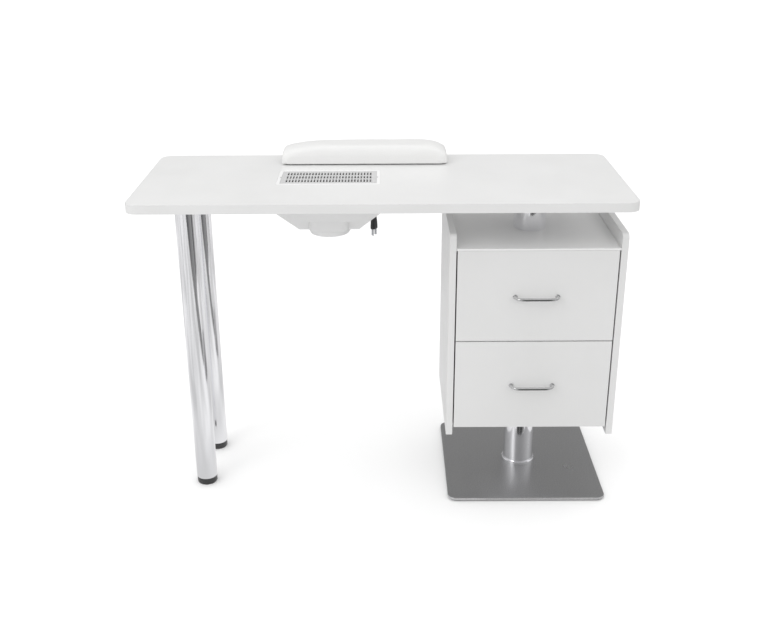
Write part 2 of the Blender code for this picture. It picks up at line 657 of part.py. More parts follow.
# ---------------------------------------------------------------- cord
def build_cord():
    """Gland, lead, folded hank in its clip, tail and plug of the fan's mains cord."""
    run_z = HANK_Z - HANK_FOLD
    gland_start = HOPPER_REAR + GAP
    gland = cylinder("cord_gland", 0, 0, 0, GLAND_LENGTH, 0.0065, "black_plastic",
                     top_radius=0.0042, sides=24)
    collar = cylinder("cutter_gland_collar", 0, 0, 0, 0.004, 0.0085, None, sides=24)
    collar.parent = gland
    gland.location = (GLAND_X, gland_start, run_z)
    gland.rotation_euler.x = -math.pi / 2
    join(gland, collar, "UNION")
    start_y = gland_start + GLAND_LENGTH + GAP
    bend = 0.026
    corner = GLAND_X + bend
    straight_end = HANK_Y - bend
    lead = [(GLAND_X, start_y, run_z), (GLAND_X, straight_end, run_z)]
    for step in range(1, 5):
        angle = step * math.pi / 8
        lead.append((corner - bend * math.cos(angle), straight_end + bend * math.sin(angle),
                     run_z))
    lead.append((hank_outline_reach(-1), HANK_Y, run_z))
    wire("cord_lead", smooth_path(lead), CORD_RADIUS, "black_plastic")
    thickness = HANK_TURNS * CORD_PITCH + 2 * CORD_RADIUS
    outer = HANK_FOLD + CORD_RADIUS
    outline = []
    for end, start in ((1, -math.pi / 2), (-1, math.pi / 2)):
        for step in range(17):
            angle = start + step * math.pi / 16
            outline.append((end * HANK_RUN / 2 + outer * math.cos(angle),
                            outer * math.sin(angle)))
    hank_middle = HANK_Y + HANK_TURNS * CORD_PITCH / 2
    hank_x = HANK_LEFT + HANK_RUN / 2
    sheet("cord_hank", [outline], thickness, (hank_x, hank_middle, HANK_Z), "black_plastic",
          turn=XZ_PLANE)
    build_clip(hank_x, hank_middle, thickness, outer)
    last_y = HANK_Y + HANK_TURNS * CORD_PITCH
    top_of_plug = PLUG_LOW + 0.065
    tail = [(hank_outline_reach(1), last_y, run_z), (-0.054, 0.1745, 0.6915),
            (-0.040, 0.172, 0.6855), (-0.0295, 0.167, 0.676), (-0.024, 0.1622, 0.664),
            (PLUG_X, PLUG_Y, top_of_plug + 0.008), (PLUG_X, PLUG_Y, top_of_plug + GAP)]
    wire("cord_tail", smooth_path(tail), CORD_RADIUS, "black_plastic")
    build_plug(top_of_plug)


def hank_outline_reach(end):
    """X where a cord on the lower run is just clear of the hank's round end."""
    return HANK_LEFT + HANK_RUN / 2 + end * (HANK_RUN / 2 + 0.0158)


def build_clip(x, y, thickness, outer):
    """Strap round the hank, screwed under the tabletop."""
    inner_width = thickness + 2 * GAP
    inner_low = HANK_Z - outer - GAP
    inner_high = HANK_Z + outer + GAP
    low = inner_low - CLIP_WALL
    width = inner_width + 2 * CLIP_WALL
    strap = rounded_rectangle(width, FIXING_TOP - low, 0.002)
    hole = rounded_rectangle(inner_width, inner_high - inner_low, 0.0008)
    shift = (FIXING_TOP + low) / 2 - (inner_high + inner_low) / 2
    hole = [(along, up - shift) for along, up in hole]
    sheet("cord_clip", [strap, hole], CLIP_WIDTH, (x, y, (FIXING_TOP + low) / 2),
          "white_plastic", turn=YZ_PLANE)


def build_plug(top_of_plug):
    """Two-blade plug hanging by its cord."""
    bm = bmesh.new()
    bmesh.ops.create_cube(bm, size=1.0)
    for vert in bm.verts:
        taper = 0.62 if vert.co.z > 0 else 1.0
        vert.co = (vert.co.x * 0.020 * taper, vert.co.y * 0.013 * taper,
                   0.040 if vert.co.z > 0 else 0.0)
    body = place("plug_body", mesh_of(bm, "plug_body"), "black_plastic")
    body.location = (PLUG_X, PLUG_Y, PLUG_LOW)
    body.rotation_euler.z = PLUG_TURN
    round_edges(body, 0.002)
    relief = cylinder("cutter_plug_relief", 0, 0, 0.030, top_of_plug - PLUG_LOW, 0.0052, None,
                      top_radius=0.0040, sides=24)
    relief.parent = body
    join(body, relief, "UNION")
    for side, sign in (("left", -1), ("right", 1)):
        offset = sign * BLADE_SPACING / 2
        blade = box("plug_blade_" + side, (offset - 0.0008, -0.0032, -0.017),
                    (offset + 0.0008, 0.0032, -GAP), "zinc_steel", bevel=0.0004)
        blade.location = (PLUG_X, PLUG_Y, PLUG_LOW)
        blade.rotation_euler.z = PLUG_TURN


# ---------------------------------------------------------------- legs, column and base
def build_legs():
    """Front and rear leg: tube, top plate and pressed-in foot."""
    tube_top = FIXING_TOP - LEG_PLATE_THICKNESS - GAP
    for name, y in (("front", -LEG_Y), ("rear", LEG_Y)):
        tube("leg_tube_" + name, LEG_X, y, FOOT_HEIGHT + GAP, tube_top, LEG_RADIUS, "chrome")
        outline = rounded_rectangle(LEG_PLATE_SIZE, LEG_PLATE_SIZE, 0.008)
        middle = FIXING_TOP - LEG_PLATE_THICKNESS / 2
        sheet("leg_plate_" + name, [outline], LEG_PLATE_THICKNESS, (LEG_X, y, middle), "chrome")
        plug_radius = LEG_RADIUS - TUBE_WALL - GAP
        rim = LEG_RADIUS - 0.0005
        turned("leg_foot_" + name, LEG_X, y,
               [(0.0, 0.0), (rim - 0.002, 0.0), (rim, 0.003), (rim, FOOT_HEIGHT),
                (plug_radius, FOOT_HEIGHT), (plug_radius, FOOT_HEIGHT + 0.013),
                (0.0, FOOT_HEIGHT + 0.013)], "black_plastic")


def build_column():
    """Column above and below the cabinet, each tube welded to its plate, and the deck clamp."""
    plate_low = FIXING_TOP - COLUMN_PLATE_THICKNESS
    outline = rounded_rectangle(COLUMN_PLATE_SIZE, COLUMN_PLATE_SIZE, 0.010)
    upper = tube("column_upper", COLUMN_X, 0, DECK_TOP + GAP, plate_low + 0.001, COLUMN_RADIUS,
                 "chrome")
    upper_plate = sheet("cutter_top_plate", [outline], COLUMN_PLATE_THICKNESS,
                        (COLUMN_X, 0, plate_low + COLUMN_PLATE_THICKNESS / 2), None)
    join(upper, upper_plate, "UNION")
    clamp_top = DECK_TOP - BOARD - GAP
    sheet("deck_clamp_plate", [outline], COLUMN_PLATE_THICKNESS,
          (COLUMN_X, 0, clamp_top - COLUMN_PLATE_THICKNESS / 2), "zinc_steel")
    lower_plate_top = FLOOR_BOARD_LOW - GAP
    lower_plate_low = lower_plate_top - COLUMN_PLATE_THICKNESS
    lower = tube("column_lower", COLUMN_X, 0, BASE_HEIGHT + GAP, lower_plate_low + 0.001,
                 COLUMN_RADIUS, "chrome")
    lower_plate = sheet("cutter_lower_plate", [outline], COLUMN_PLATE_THICKNESS,
                        (COLUMN_X, 0, lower_plate_low + COLUMN_PLATE_THICKNESS / 2), None)
    join(lower, lower_plate, "UNION")
    inner = COLUMN_RADIUS + GAP
    turned("base_collar", COLUMN_X, 0,
           [(inner, BASE_HEIGHT + GAP), (COLLAR_RADIUS, BASE_HEIGHT + GAP),
            (COLLAR_RADIUS, BASE_HEIGHT + COLLAR_HEIGHT - 0.0015),
            (COLLAR_RADIUS - 0.0015, BASE_HEIGHT + COLLAR_HEIGHT),
            (inner, BASE_HEIGHT + COLLAR_HEIGHT)], "chrome", steps=56)


def build_base():
    """Square base: sheet cover folded down over a weight slab, on a thin gasket."""
    cover_low = GASKET_THICKNESS + 0.0010
    outline = rounded_rectangle(BASE_SIZE, BASE_SIZE, BASE_CORNER)
    cover = sheet("base_cover", [outline], BASE_HEIGHT - cover_low,
                  (COLUMN_X, 0, (BASE_HEIGHT + cover_low) / 2), "brushed_steel", bevel=0.0006)
    inside_size = BASE_SIZE - 2 * BASE_SHEET
    inside = rounded_rectangle(inside_size, inside_size, BASE_CORNER - BASE_SHEET)
    inside_top = BASE_HEIGHT - BASE_SHEET
    hollow = sheet("cutter_base_hollow", [inside], 0.02, (COLUMN_X, 0, inside_top - 0.01), None)
    join(cover, hollow, "DIFFERENCE")
    slab_size = inside_size - 2 * GAP
    slab = rounded_rectangle(slab_size, slab_size, BASE_CORNER - BASE_SHEET - GAP)
    slab_low = GASKET_THICKNESS + GAP
    slab_top = inside_top - GAP
    sheet("base_weight", [slab], slab_top - slab_low, (COLUMN_X, 0, (slab_low + slab_top) / 2),
          "cast_iron")
    gasket_size = BASE_SIZE - 0.008
    gasket = rounded_rectangle(gasket_size, gasket_size, BASE_CORNER - 0.004)
    sheet("base_gasket", [gasket], GASKET_THICKNESS, (COLUMN_X, 0, GASKET_THICKNESS / 2),
          "black_rubber")


# ---------------------------------------------------------------- cabinet and drawers
def build_cabinet():
    """Two sides, deck with a lip over the drawers, floor board, back and four runners."""
    height = CABINET_TOP - CABINET_BOTTOM
    depth = 2 * CABINET_HALF_DEPTH
    arc = [(SIDE_CORNER * (1 - math.cos(step * math.pi / 12)),
            SIDE_CORNER * (1 - math.sin(step * math.pi / 12))) for step in range(7)]
    profile = [(-depth / 2, -height / 2), (depth / 2, -height / 2), (depth / 2, height / 2)]
    profile += [(along - depth / 2, height / 2 - down) for along, down in reversed(arc)]
    middle_z = (CABINET_TOP + CABINET_BOTTOM) / 2
    for name, x in (("left", CABINET_LEFT + BOARD / 2), ("right", CABINET_RIGHT - BOARD / 2)):
        sheet("cabinet_side_" + name, [profile], BOARD, (x, 0, middle_z), "white_laminate",
              turn=YZ_PLANE, bevel=0.0006)
    left = CABINET_LEFT + BOARD + GAP
    right = CABINET_RIGHT - BOARD - GAP
    front = -CABINET_HALF_DEPTH
    rear = CABINET_HALF_DEPTH
    behind_front = front + FRONT_THICKNESS + 0.001
    deck = [(front, DECK_TOP - DECK_LIP), (behind_front, DECK_TOP - DECK_LIP),
            (behind_front, DECK_TOP - BOARD), (rear, DECK_TOP - BOARD), (rear, DECK_TOP),
            (front, DECK_TOP)]
    sheet("cabinet_deck", [deck], right - left, ((left + right) / 2, 0, 0), "white_laminate",
          turn=YZ_PLANE)
    box("cabinet_floor", (left, behind_front, FLOOR_BOARD_LOW),
        (right, rear, FLOOR_BOARD_LOW + BOARD), "white_laminate")
    box("cabinet_back", (left, rear - BACK_THICKNESS, FLOOR_BOARD_LOW + BOARD + GAP),
        (right, rear, DECK_TOP - BOARD - GAP), "white_laminate")


def runner_outline(depth, half_height):
    """Channel section, open towards +X, standing upright about the origin."""
    inner = half_height - RUNNER_SHEET
    return [(0, -half_height), (depth, -half_height), (depth, -inner), (RUNNER_SHEET, -inner),
            (RUNNER_SHEET, inner), (depth, inner), (depth, half_height), (0, half_height)]


def build_drawer(name):
    """One drawer: front, box, bow handle and its runner members in the cabinet's channels."""
    front_low, front_high, box_low, box_high = DRAWERS[name]
    inner_left = CABINET_LEFT + BOARD
    inner_right = CABINET_RIGHT - BOARD
    front = -CABINET_HALF_DEPTH
    box_front = front + FRONT_THICKNESS + GAP
    box("drawer_%s_front" % name, (inner_left + FRONT_SIDE_GAP, front, front_low),
        (inner_right - FRONT_SIDE_GAP, front + FRONT_THICKNESS, front_high), "white_laminate",
        bevel=0.0006)
    left = inner_left + DRAWER_SIDE_GAP
    right = inner_right - DRAWER_SIDE_GAP
    box("drawer_%s_side_left" % name, (left, box_front, box_low),
        (left + DRAWER_WALL, DRAWER_BACK, box_high), "drawer_lining")
    box("drawer_%s_side_right" % name, (right - DRAWER_WALL, box_front, box_low),
        (right, DRAWER_BACK, box_high), "drawer_lining")
    within_left = left + DRAWER_WALL + GAP
    within_right = right - DRAWER_WALL - GAP
    box("drawer_%s_back" % name, (within_left, DRAWER_BACK - DRAWER_WALL, box_low),
        (within_right, DRAWER_BACK, box_high - 0.004), "drawer_lining")
    floor_low = box_low + 0.008
    box("drawer_%s_floor" % name, (within_left, box_front, floor_low),
        (within_right, DRAWER_BACK - DRAWER_WALL - GAP, floor_low + DRAWER_FLOOR),
        "drawer_lining")
    build_handle(name, (inner_left + inner_right) / 2, front - GAP, (front_low + front_high) / 2)
    build_runners(name, (left, right), (box_low + box_high) / 2)


def build_runners(name, box_sides, height):
    """Cabinet channel and drawer channel on both sides of one drawer."""
    length = RUNNER_BACK - RUNNER_FRONT
    middle_y = (RUNNER_BACK + RUNNER_FRONT) / 2
    fixed = runner_outline(RUNNER_DEPTH, RUNNER_HALF_HEIGHT)
    inner_half = RUNNER_HALF_HEIGHT - RUNNER_SHEET - 0.0012
    reach = DRAWER_SIDE_GAP - RUNNER_SHEET - 2 * GAP - 0.0006
    moving = runner_outline(reach, inner_half)
    walls = (CABINET_LEFT + BOARD + GAP, CABINET_RIGHT - BOARD - GAP)
    outward = {"left": 1, "right": -1}
    for index, (side, sign) in enumerate(outward.items()):
        cabinet_member = [(sign * x, z) for x, z in fixed]
        sheet("cabinet_runner_%s_%s" % (name, side), [cabinet_member], length,
              (walls[index], middle_y, height), "zinc_steel", turn=XZ_PLANE)
        drawer_member = [(-sign * x, z) for x, z in moving]
        sheet("drawer_%s_runner_%s" % (name, side), [drawer_member], length,
              (box_sides[index] - sign * GAP, middle_y, height), "zinc_steel", turn=XZ_PLANE)


def build_handle(name, x, face_y, z):
    """Bow handle with round feet against the drawer front."""
    half = HANDLE_SPACING / 2
    points = []
    steps = 24
    for step in range(steps + 1):
        angle = math.pi * step / steps
        across = -half * math.copysign(abs(math.cos(angle)) ** 0.55, math.cos(angle))
        out = HANDLE_REACH * math.sin(angle) ** 0.62
        points.append((x + across, face_y - 0.0005 - out, z))
    handle = wire("drawer_%s_handle" % name, points, HANDLE_WIRE, "chrome", resolution=3)
    for side, sign in (("left", -1), ("right", 1)):
        foot = cylinder("cutter_%s_foot_%s" % (name, side), 0, 0, 0, HANDLE_FOOT_THICKNESS,
                        HANDLE_FOOT_RADIUS, None, top_radius=HANDLE_FOOT_RADIUS - 0.0008, sides=24)
        foot.location = (x + sign * half, face_y, z)
        foot.rotation_euler.x = math.pi / 2
        join(handle, foot, "UNION")


# ---------------------------------------------------------------- wrist cushion
def build_cushion():
    """Crowned cushion on a thin board."""
    inset = CUSHION_BOARD_INSET
    board_low = TOP_HEIGHT + GAP
    board_top = board_low + CUSHION_BOARD_THICKNESS
    length = CUSHION_RIGHT - CUSHION_LEFT
    depth = CUSHION_BACK - CUSHION_FRONT
    centre_x = (CUSHION_RIGHT + CUSHION_LEFT) / 2
    centre_y = (CUSHION_BACK + CUSHION_FRONT) / 2
    board = rounded_rectangle(length - 2 * inset, depth - 2 * inset, 0.020)
    sheet("cushion_board", [board], CUSHION_BOARD_THICKNESS,
          (centre_x, centre_y, (board_low + board_top) / 2), "black_plastic")
    low = board_top + GAP
    height = CUSHION_TOP - low
    bm = bmesh.new()
    bmesh.ops.create_cube(bm, size=1.0)
    bmesh.ops.subdivide_edges(bm, edges=bm.edges, cuts=3, use_grid_fill=True)
    for vert in bm.verts:
        crown = 1.0 - 0.10 * (2 * vert.co.x) ** 4
        vert.co = (centre_x + vert.co.x * length, centre_y + vert.co.y * depth,
                   low + (vert.co.z + 0.5) * height * crown)
    cushion = place("wrist_cushion", mesh_of(bm, "wrist_cushion"), "white_leatherette",
                    smooth=True)
    round_edges(cushion, 0.017, 4, 60.0)


build_top()
build_vent()
build_housing()
build_outlet()
build_fan()
build_switch()
build_cord()
build_legs()
build_column()
build_base()
build_cabinet()
for drawer in DRAWERS:
    build_drawer(drawer)
build_cushion()
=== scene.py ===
"""Looks of the manicure table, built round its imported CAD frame.

Each sub-assembly is a class: its sizes are dataclass fields, build() makes the pieces that ride on
the CAD bodies and dress() gives the CAD nodes their finishes. main() builds them in order.
"""

from __future__ import annotations

import json
import logging
import math
from dataclasses import dataclass
from enum import Enum
from typing import Callable, Iterable, Sequence

import bmesh
import bpy
from mathutils import Matrix, Vector

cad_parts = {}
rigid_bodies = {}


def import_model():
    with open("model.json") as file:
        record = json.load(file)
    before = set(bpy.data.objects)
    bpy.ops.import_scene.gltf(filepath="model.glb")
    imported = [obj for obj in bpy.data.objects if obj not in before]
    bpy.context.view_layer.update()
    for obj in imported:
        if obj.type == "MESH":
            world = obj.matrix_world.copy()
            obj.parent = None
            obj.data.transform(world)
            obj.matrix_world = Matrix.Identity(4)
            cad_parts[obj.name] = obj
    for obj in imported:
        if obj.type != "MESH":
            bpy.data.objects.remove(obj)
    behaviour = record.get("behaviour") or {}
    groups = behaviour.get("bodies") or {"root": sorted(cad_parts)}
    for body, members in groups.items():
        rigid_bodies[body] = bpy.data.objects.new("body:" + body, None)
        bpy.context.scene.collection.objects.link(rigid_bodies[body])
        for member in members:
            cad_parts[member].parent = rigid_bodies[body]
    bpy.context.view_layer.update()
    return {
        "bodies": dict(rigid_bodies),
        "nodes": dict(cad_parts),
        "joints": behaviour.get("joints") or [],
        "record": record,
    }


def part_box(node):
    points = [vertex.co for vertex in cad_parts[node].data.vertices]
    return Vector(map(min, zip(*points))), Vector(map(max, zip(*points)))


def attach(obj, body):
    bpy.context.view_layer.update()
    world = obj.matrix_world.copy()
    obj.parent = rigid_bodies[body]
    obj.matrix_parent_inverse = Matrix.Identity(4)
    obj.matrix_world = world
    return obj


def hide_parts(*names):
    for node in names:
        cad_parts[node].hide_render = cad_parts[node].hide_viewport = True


LOG = logging.getLogger("manicure_table")
Point = tuple[float, float, float]
Colour = tuple[float, float, float]


# ---------------------------------------------------------------- shader node groups
class Bench:
    """Adds, sets and links the nodes of one node tree."""

    def __init__(self, tree: bpy.types.NodeTree) -> None:
        """Keep the tree that the nodes go into.

        Args:
            tree: Material, world or group node tree.
        """
        self.tree = tree

    def add(self, kind: str, **settings: object) -> bpy.types.Node:
        """Make a node.

        Args:
            kind: Node type, such as "ShaderNodeTexNoise".
            settings: Properties of the node, or values of its inputs written as in_NAME.

        Returns:
            The new node.
        """
        node = self.tree.nodes.new(kind)
        for key, value in settings.items():
            if key.startswith("in_"):
                node.inputs[key[3:].replace("_", " ")].default_value = value
            else:
                setattr(node, key, value)
        return node

    def link(self, source: bpy.types.NodeSocket, *targets: bpy.types.NodeSocket) -> None:
        """Link one output to one or more inputs."""
        for target in targets:
            self.tree.links.new(source, target)

    def maths(self, operation: str, first: object, second: object = 0.5) -> bpy.types.NodeSocket:
        """Make a Math node from sockets or numbers.

        Args:
            operation: Math operation, such as "MULTIPLY".
            first: First socket or number.
            second: Second socket or number.

        Returns:
            The node's output socket.
        """
        node = self.tree.nodes.new("ShaderNodeMath")
        node.operation = operation
        for socket, value in zip(node.inputs, (first, second)):
            if isinstance(value, bpy.types.NodeSocket):
                self.link(value, socket)
            else:
                socket.default_value = value
        return node.outputs[0]

    def map_range(self, value: bpy.types.NodeSocket, low: float, high: float,
                  to_low: object, to_high: object) -> bpy.types.NodeSocket:
        """Map a value from one range to another, clamped.

        Args:
            value: Socket to map.
            low: Value that becomes to_low.
            high: Value that becomes to_high.
            to_low: Number or socket.
            to_high: Number or socket.

        Returns:
            The mapped value's socket.
        """
        node = self.add("ShaderNodeMapRange")
        self.link(value, node.inputs["Value"])
        node.inputs["From Min"].default_value = low
        node.inputs["From Max"].default_value = high
        for name, target in (("To Min", to_low), ("To Max", to_high)):
            if isinstance(target, bpy.types.NodeSocket):
                self.link(target, node.inputs[name])
            else:
                node.inputs[name].default_value = target
        return node.outputs["Result"]

    def mix_colours(self, factor: bpy.types.NodeSocket, first: bpy.types.NodeSocket,
                    second: bpy.types.NodeSocket | Colour) -> bpy.types.NodeSocket:
        """Mix a colour socket with a second colour.

        Args:
            factor: Share of the second colour, from 0 to 1.
            first: First colour's socket.
            second: Second colour, or its socket.

        Returns:
            The mixed colour's socket.
        """
        node = self.add("ShaderNodeMix", data_type="RGBA")
        self.link(factor, node.inputs[0])
        self.link(first, node.inputs[6])
        if isinstance(second, tuple):
            node.inputs[7].default_value = (*second, 1.0)
        else:
            self.link(second, node.inputs[7])
        return node.outputs[2]


class Effect(Enum):
    """Surface effects that several finishes share, each a shader node group."""

    TONE = "tone drift"
    MARKS = "handling marks"
    PEEL = "orange peel"
    WEAR_AND_HIGHLIGHT = "edge wear and painted highlight"
    GRAIN = "leather grain"
    SPECKLE = "blasted speckle"
    BRUSH = "brushed lines"
    DUST = "settled dust"


def new_group(effect: Effect, inputs: dict[str, tuple[str, object]],
              outputs: dict[str, str]) -> tuple[bpy.types.NodeTree, Bench, dict, dict]:
    """Make an empty shader group with named sockets.

    Args:
        effect: The effect that the group makes.
        inputs: Socket type and default of each input, by name.
        outputs: Socket type of each output, by name.

    Returns:
        The group, a bench on it, its input sockets and its output sockets, by name.
    """
    tree = bpy.data.node_groups.new(effect.value, "ShaderNodeTree")
    for name, (kind, default) in inputs.items():
        socket = tree.interface.new_socket(name, in_out="INPUT", socket_type=kind)
        socket.default_value = default
    for name, kind in outputs.items():
        tree.interface.new_socket(name, in_out="OUTPUT", socket_type=kind)
    bench = Bench(tree)
    enter = bench.add("NodeGroupInput")
    leave = bench.add("NodeGroupOutput")
    return (tree, bench, {socket.name: socket for socket in enter.outputs if socket.name},
            {socket.name: socket for socket in leave.inputs if socket.name})


FLOAT, COLOUR = "NodeSocketFloat", "NodeSocketColor"
WHITE = (1.0, 1.0, 1.0, 1.0)


def noise(bench: Bench, scale: object, detail: float = 3.0,
          stretch: Point | None = None) -> bpy.types.NodeSocket:
    """Noise in the object's own space.

    Args:
        bench: Bench to build on.
        scale: Number or socket, in cells for each metre.
        detail: Octaves of the noise.
        stretch: Factors on X, Y and Z that lengthen the pattern where they are small.

    Returns:
        The noise value's socket.
    """
    place = bench.add("ShaderNodeTexCoord").outputs["Object"]
    if stretch is not None:
        mapping = bench.add("ShaderNodeMapping")
        mapping.inputs["Scale"].default_value = stretch
        bench.link(place, mapping.inputs["Vector"])
        place = mapping.outputs["Vector"]
    texture = bench.add("ShaderNodeTexNoise", in_Detail=detail)
    bench.link(place, texture.inputs["Vector"])
    if isinstance(scale, bpy.types.NodeSocket):
        bench.link(scale, texture.inputs["Scale"])
    else:
        texture.inputs["Scale"].default_value = scale
    return texture.outputs["Fac"]


def tone_group() -> bpy.types.NodeTree:
    """Slow drift between two tones of a colour, with a fine speck of the second.

    Returns:
        The group's node tree.
    """
    tree, bench, enter, leave = new_group(
        Effect.TONE,
        {"Colour": (COLOUR, WHITE), "Other Colour": (COLOUR, WHITE), "Scale": (FLOAT, 6.0)},
        {"Colour": COLOUR})
    slow = bench.map_range(noise(bench, enter["Scale"], 4.0), 0.35, 0.65, 0.0, 0.8)
    fine = bench.map_range(noise(bench, 900.0, 2.0), 0.60, 0.80, 0.0, 0.6)
    mixed = bench.maths("MAXIMUM", slow, fine)
    bench.link(bench.mix_colours(mixed, enter["Colour"], enter["Other Colour"]), leave["Colour"])
    return tree


def marks_group() -> bpy.types.NodeTree:
    """Roughness that varies where hands and cloths have rubbed.

    Returns:
        The group's node tree.
    """
    tree, bench, enter, leave = new_group(
        Effect.MARKS,
        {"Base": (FLOAT, 0.4), "Spread": (FLOAT, 0.05), "Scale": (FLOAT, 14.0)},
        {"Roughness": FLOAT})
    patches = bench.map_range(noise(bench, enter["Scale"], 5.0), 0.3, 0.7, -1.0, 1.0)
    wipes = bench.map_range(noise(bench, 60.0, 3.0, (1.0, 0.12, 1.0)), 0.3, 0.7, -0.4, 0.4)
    shift = bench.maths("MULTIPLY", bench.maths("ADD", patches, wipes), enter["Spread"])
    bench.link(bench.maths("ADD", enter["Base"], shift), leave["Roughness"])
    return tree


def peel_group() -> bpy.types.NodeTree:
    """Fine uneven skin of melamine and moulded plastic.

    Returns:
        The group's node tree.
    """
    tree, bench, enter, leave = new_group(
        Effect.PEEL, {"Scale": (FLOAT, 400.0)}, {"Height": FLOAT})
    coarse = noise(bench, enter["Scale"], 2.0)
    fine = noise(bench, bench.maths("MULTIPLY", enter["Scale"], 4.0), 2.0)
    bench.link(bench.maths("ADD", coarse, bench.maths("MULTIPLY", fine, 0.4)), leave["Height"])
    return tree


def wear_and_highlight_group() -> bpy.types.NodeTree:
    """Colour that changes along sharp edges: rubbed wear, and on the steel cover a painted highlight.

    Returns:
        The group's node tree.
    """
    tree, bench, enter, leave = new_group(
        Effect.WEAR_AND_HIGHLIGHT,
        {"Colour": (COLOUR, WHITE), "Worn Colour": (COLOUR, WHITE), "Reach": (FLOAT, 0.001),
         "Amount": (FLOAT, 0.5)},
        {"Colour": COLOUR, "Mask": FLOAT})
    rounded = bench.add("ShaderNodeBevel", samples=4)
    bench.link(enter["Reach"], rounded.inputs["Radius"])
    true_normal = bench.add("ShaderNodeNewGeometry").outputs["Normal"]
    facing = bench.add("ShaderNodeVectorMath", operation="DOT_PRODUCT")
    bench.link(rounded.outputs["Normal"], facing.inputs[0])
    bench.link(true_normal, facing.inputs[1])
    edge = bench.map_range(facing.outputs["Value"], 0.99, 0.85, 0.0, 1.0)
    broken = bench.map_range(noise(bench, 70.0, 4.0), 0.35, 0.60, 0.25, 1.0)
    mask = bench.maths("MULTIPLY", bench.maths("MULTIPLY", edge, broken), enter["Amount"])
    bench.link(mask, leave["Mask"])
    bench.link(bench.mix_colours(mask, enter["Colour"], enter["Worn Colour"]), leave["Colour"])
    return tree


def grain_group() -> bpy.types.NodeTree:
    """Pebbled grain of coated leathercloth, and the creases between its pebbles.

    Returns:
        The group's node tree.
    """
    tree, bench, enter, leave = new_group(
        Effect.GRAIN, {"Scale": (FLOAT, 700.0)}, {"Height": FLOAT, "Crease": FLOAT})
    place = bench.add("ShaderNodeTexCoord").outputs["Object"]
    cells = bench.add("ShaderNodeTexVoronoi", feature="DISTANCE_TO_EDGE")
    bench.link(place, cells.inputs["Vector"])
    bench.link(enter["Scale"], cells.inputs["Scale"])
    pebble = bench.map_range(cells.outputs["Distance"], 0.0, 0.25, 0.0, 1.0)
    wrinkle = noise(bench, bench.maths("MULTIPLY", enter["Scale"], 0.12), 4.0)
    height = bench.maths("ADD", pebble, bench.maths("MULTIPLY", wrinkle, 0.7))
    bench.link(height, leave["Height"])
    bench.link(bench.map_range(cells.outputs["Distance"], 0.06, 0.0, 0.0, 1.0), leave["Crease"])
    return tree


def speckle_group() -> bpy.types.NodeTree:
    """Fine bright and dark speckle of blasted or cast metal, with its height.

    Returns:
        The group's node tree.
    """
    tree, bench, enter, leave = new_group(
        Effect.SPECKLE,
        {"Colour": (COLOUR, WHITE), "Fleck Colour": (COLOUR, WHITE), "Scale": (FLOAT, 1200.0)},
        {"Colour": COLOUR, "Height": FLOAT})
    value = noise(bench, enter["Scale"], 2.0)
    fleck = bench.map_range(value, 0.35, 0.68, 0.0, 1.0)
    bench.link(bench.mix_colours(fleck, enter["Colour"], enter["Fleck Colour"]),
               leave["Colour"])
    bench.link(value, leave["Height"])
    return tree


def brush_group() -> bpy.types.NodeTree:
    """Lines of a brushed or drawn metal surface, running along one axis.

    Returns:
        The group's node tree.
    """
    tree, bench, enter, leave = new_group(
        Effect.BRUSH,
        {"Colour": (COLOUR, WHITE), "Line Colour": (COLOUR, WHITE), "Scale": (FLOAT, 900.0)},
        {"Colour": COLOUR, "Height": FLOAT})
    lines = noise(bench, enter["Scale"], 3.0, (0.02, 1.0, 1.0))
    shade = bench.map_range(lines, 0.35, 0.65, 0.0, 1.0)
    bench.link(bench.mix_colours(shade, enter["Colour"], enter["Line Colour"]), leave["Colour"])
    bench.link(lines, leave["Height"])
    return tree


def dust_group() -> bpy.types.NodeTree:
    """Thin film of filing dust on what faces up.

    Returns:
        The group's node tree.
    """
    tree, bench, enter, leave = new_group(
        Effect.DUST,
        {"Colour": (COLOUR, WHITE), "Dust Colour": (COLOUR, (0.8, 0.79, 0.77, 1.0)),
         "Amount": (FLOAT, 0.1)},
        {"Colour": COLOUR})
    normal = bench.add("ShaderNodeNewGeometry").outputs["Normal"]
    parts = bench.add("ShaderNodeSeparateXYZ")
    bench.link(normal, parts.inputs[0])
    upward = bench.map_range(parts.outputs["Z"], 0.3, 0.95, 0.0, 1.0)
    patchy = bench.map_range(noise(bench, 45.0, 6.0), 0.40, 0.70, 0.1, 1.0)
    film = bench.maths("MULTIPLY", bench.maths("MULTIPLY", upward, patchy), enter["Amount"])
    bench.link(bench.mix_colours(film, enter["Colour"], enter["Dust Colour"]), leave["Colour"])
    return tree


GROUP_MAKERS: dict[Effect, Callable[[], bpy.types.NodeTree]] = {
    Effect.TONE: tone_group,
    Effect.MARKS: marks_group,
    Effect.PEEL: peel_group,
    Effect.WEAR_AND_HIGHLIGHT: wear_and_highlight_group,
    Effect.GRAIN: grain_group,
    Effect.SPECKLE: speckle_group,
    Effect.BRUSH: brush_group,
    Effect.DUST: dust_group,
}


def place_effect(bench: Bench, effect: Effect, **values: object) -> bpy.types.Node:
    """Put a shared effect into a material, building its group the first time.

    Args:
        bench: Bench on the material's tree.
        effect: Which effect to place.
        values: Input values or sockets, by socket name with _ for a space.

    Returns:
        The group node.
    """
    tree = bpy.data.node_groups.get(effect.value) or GROUP_MAKERS[effect]()
    node = bench.add("ShaderNodeGroup", node_tree=tree)
    for key, value in values.items():
        socket = node.inputs[key.replace("_", " ")]
        if isinstance(value, bpy.types.NodeSocket):
            bench.link(value, socket)
        elif isinstance(value, tuple):
            socket.default_value = (*value, 1.0)
        else:
            socket.default_value = value
    return node


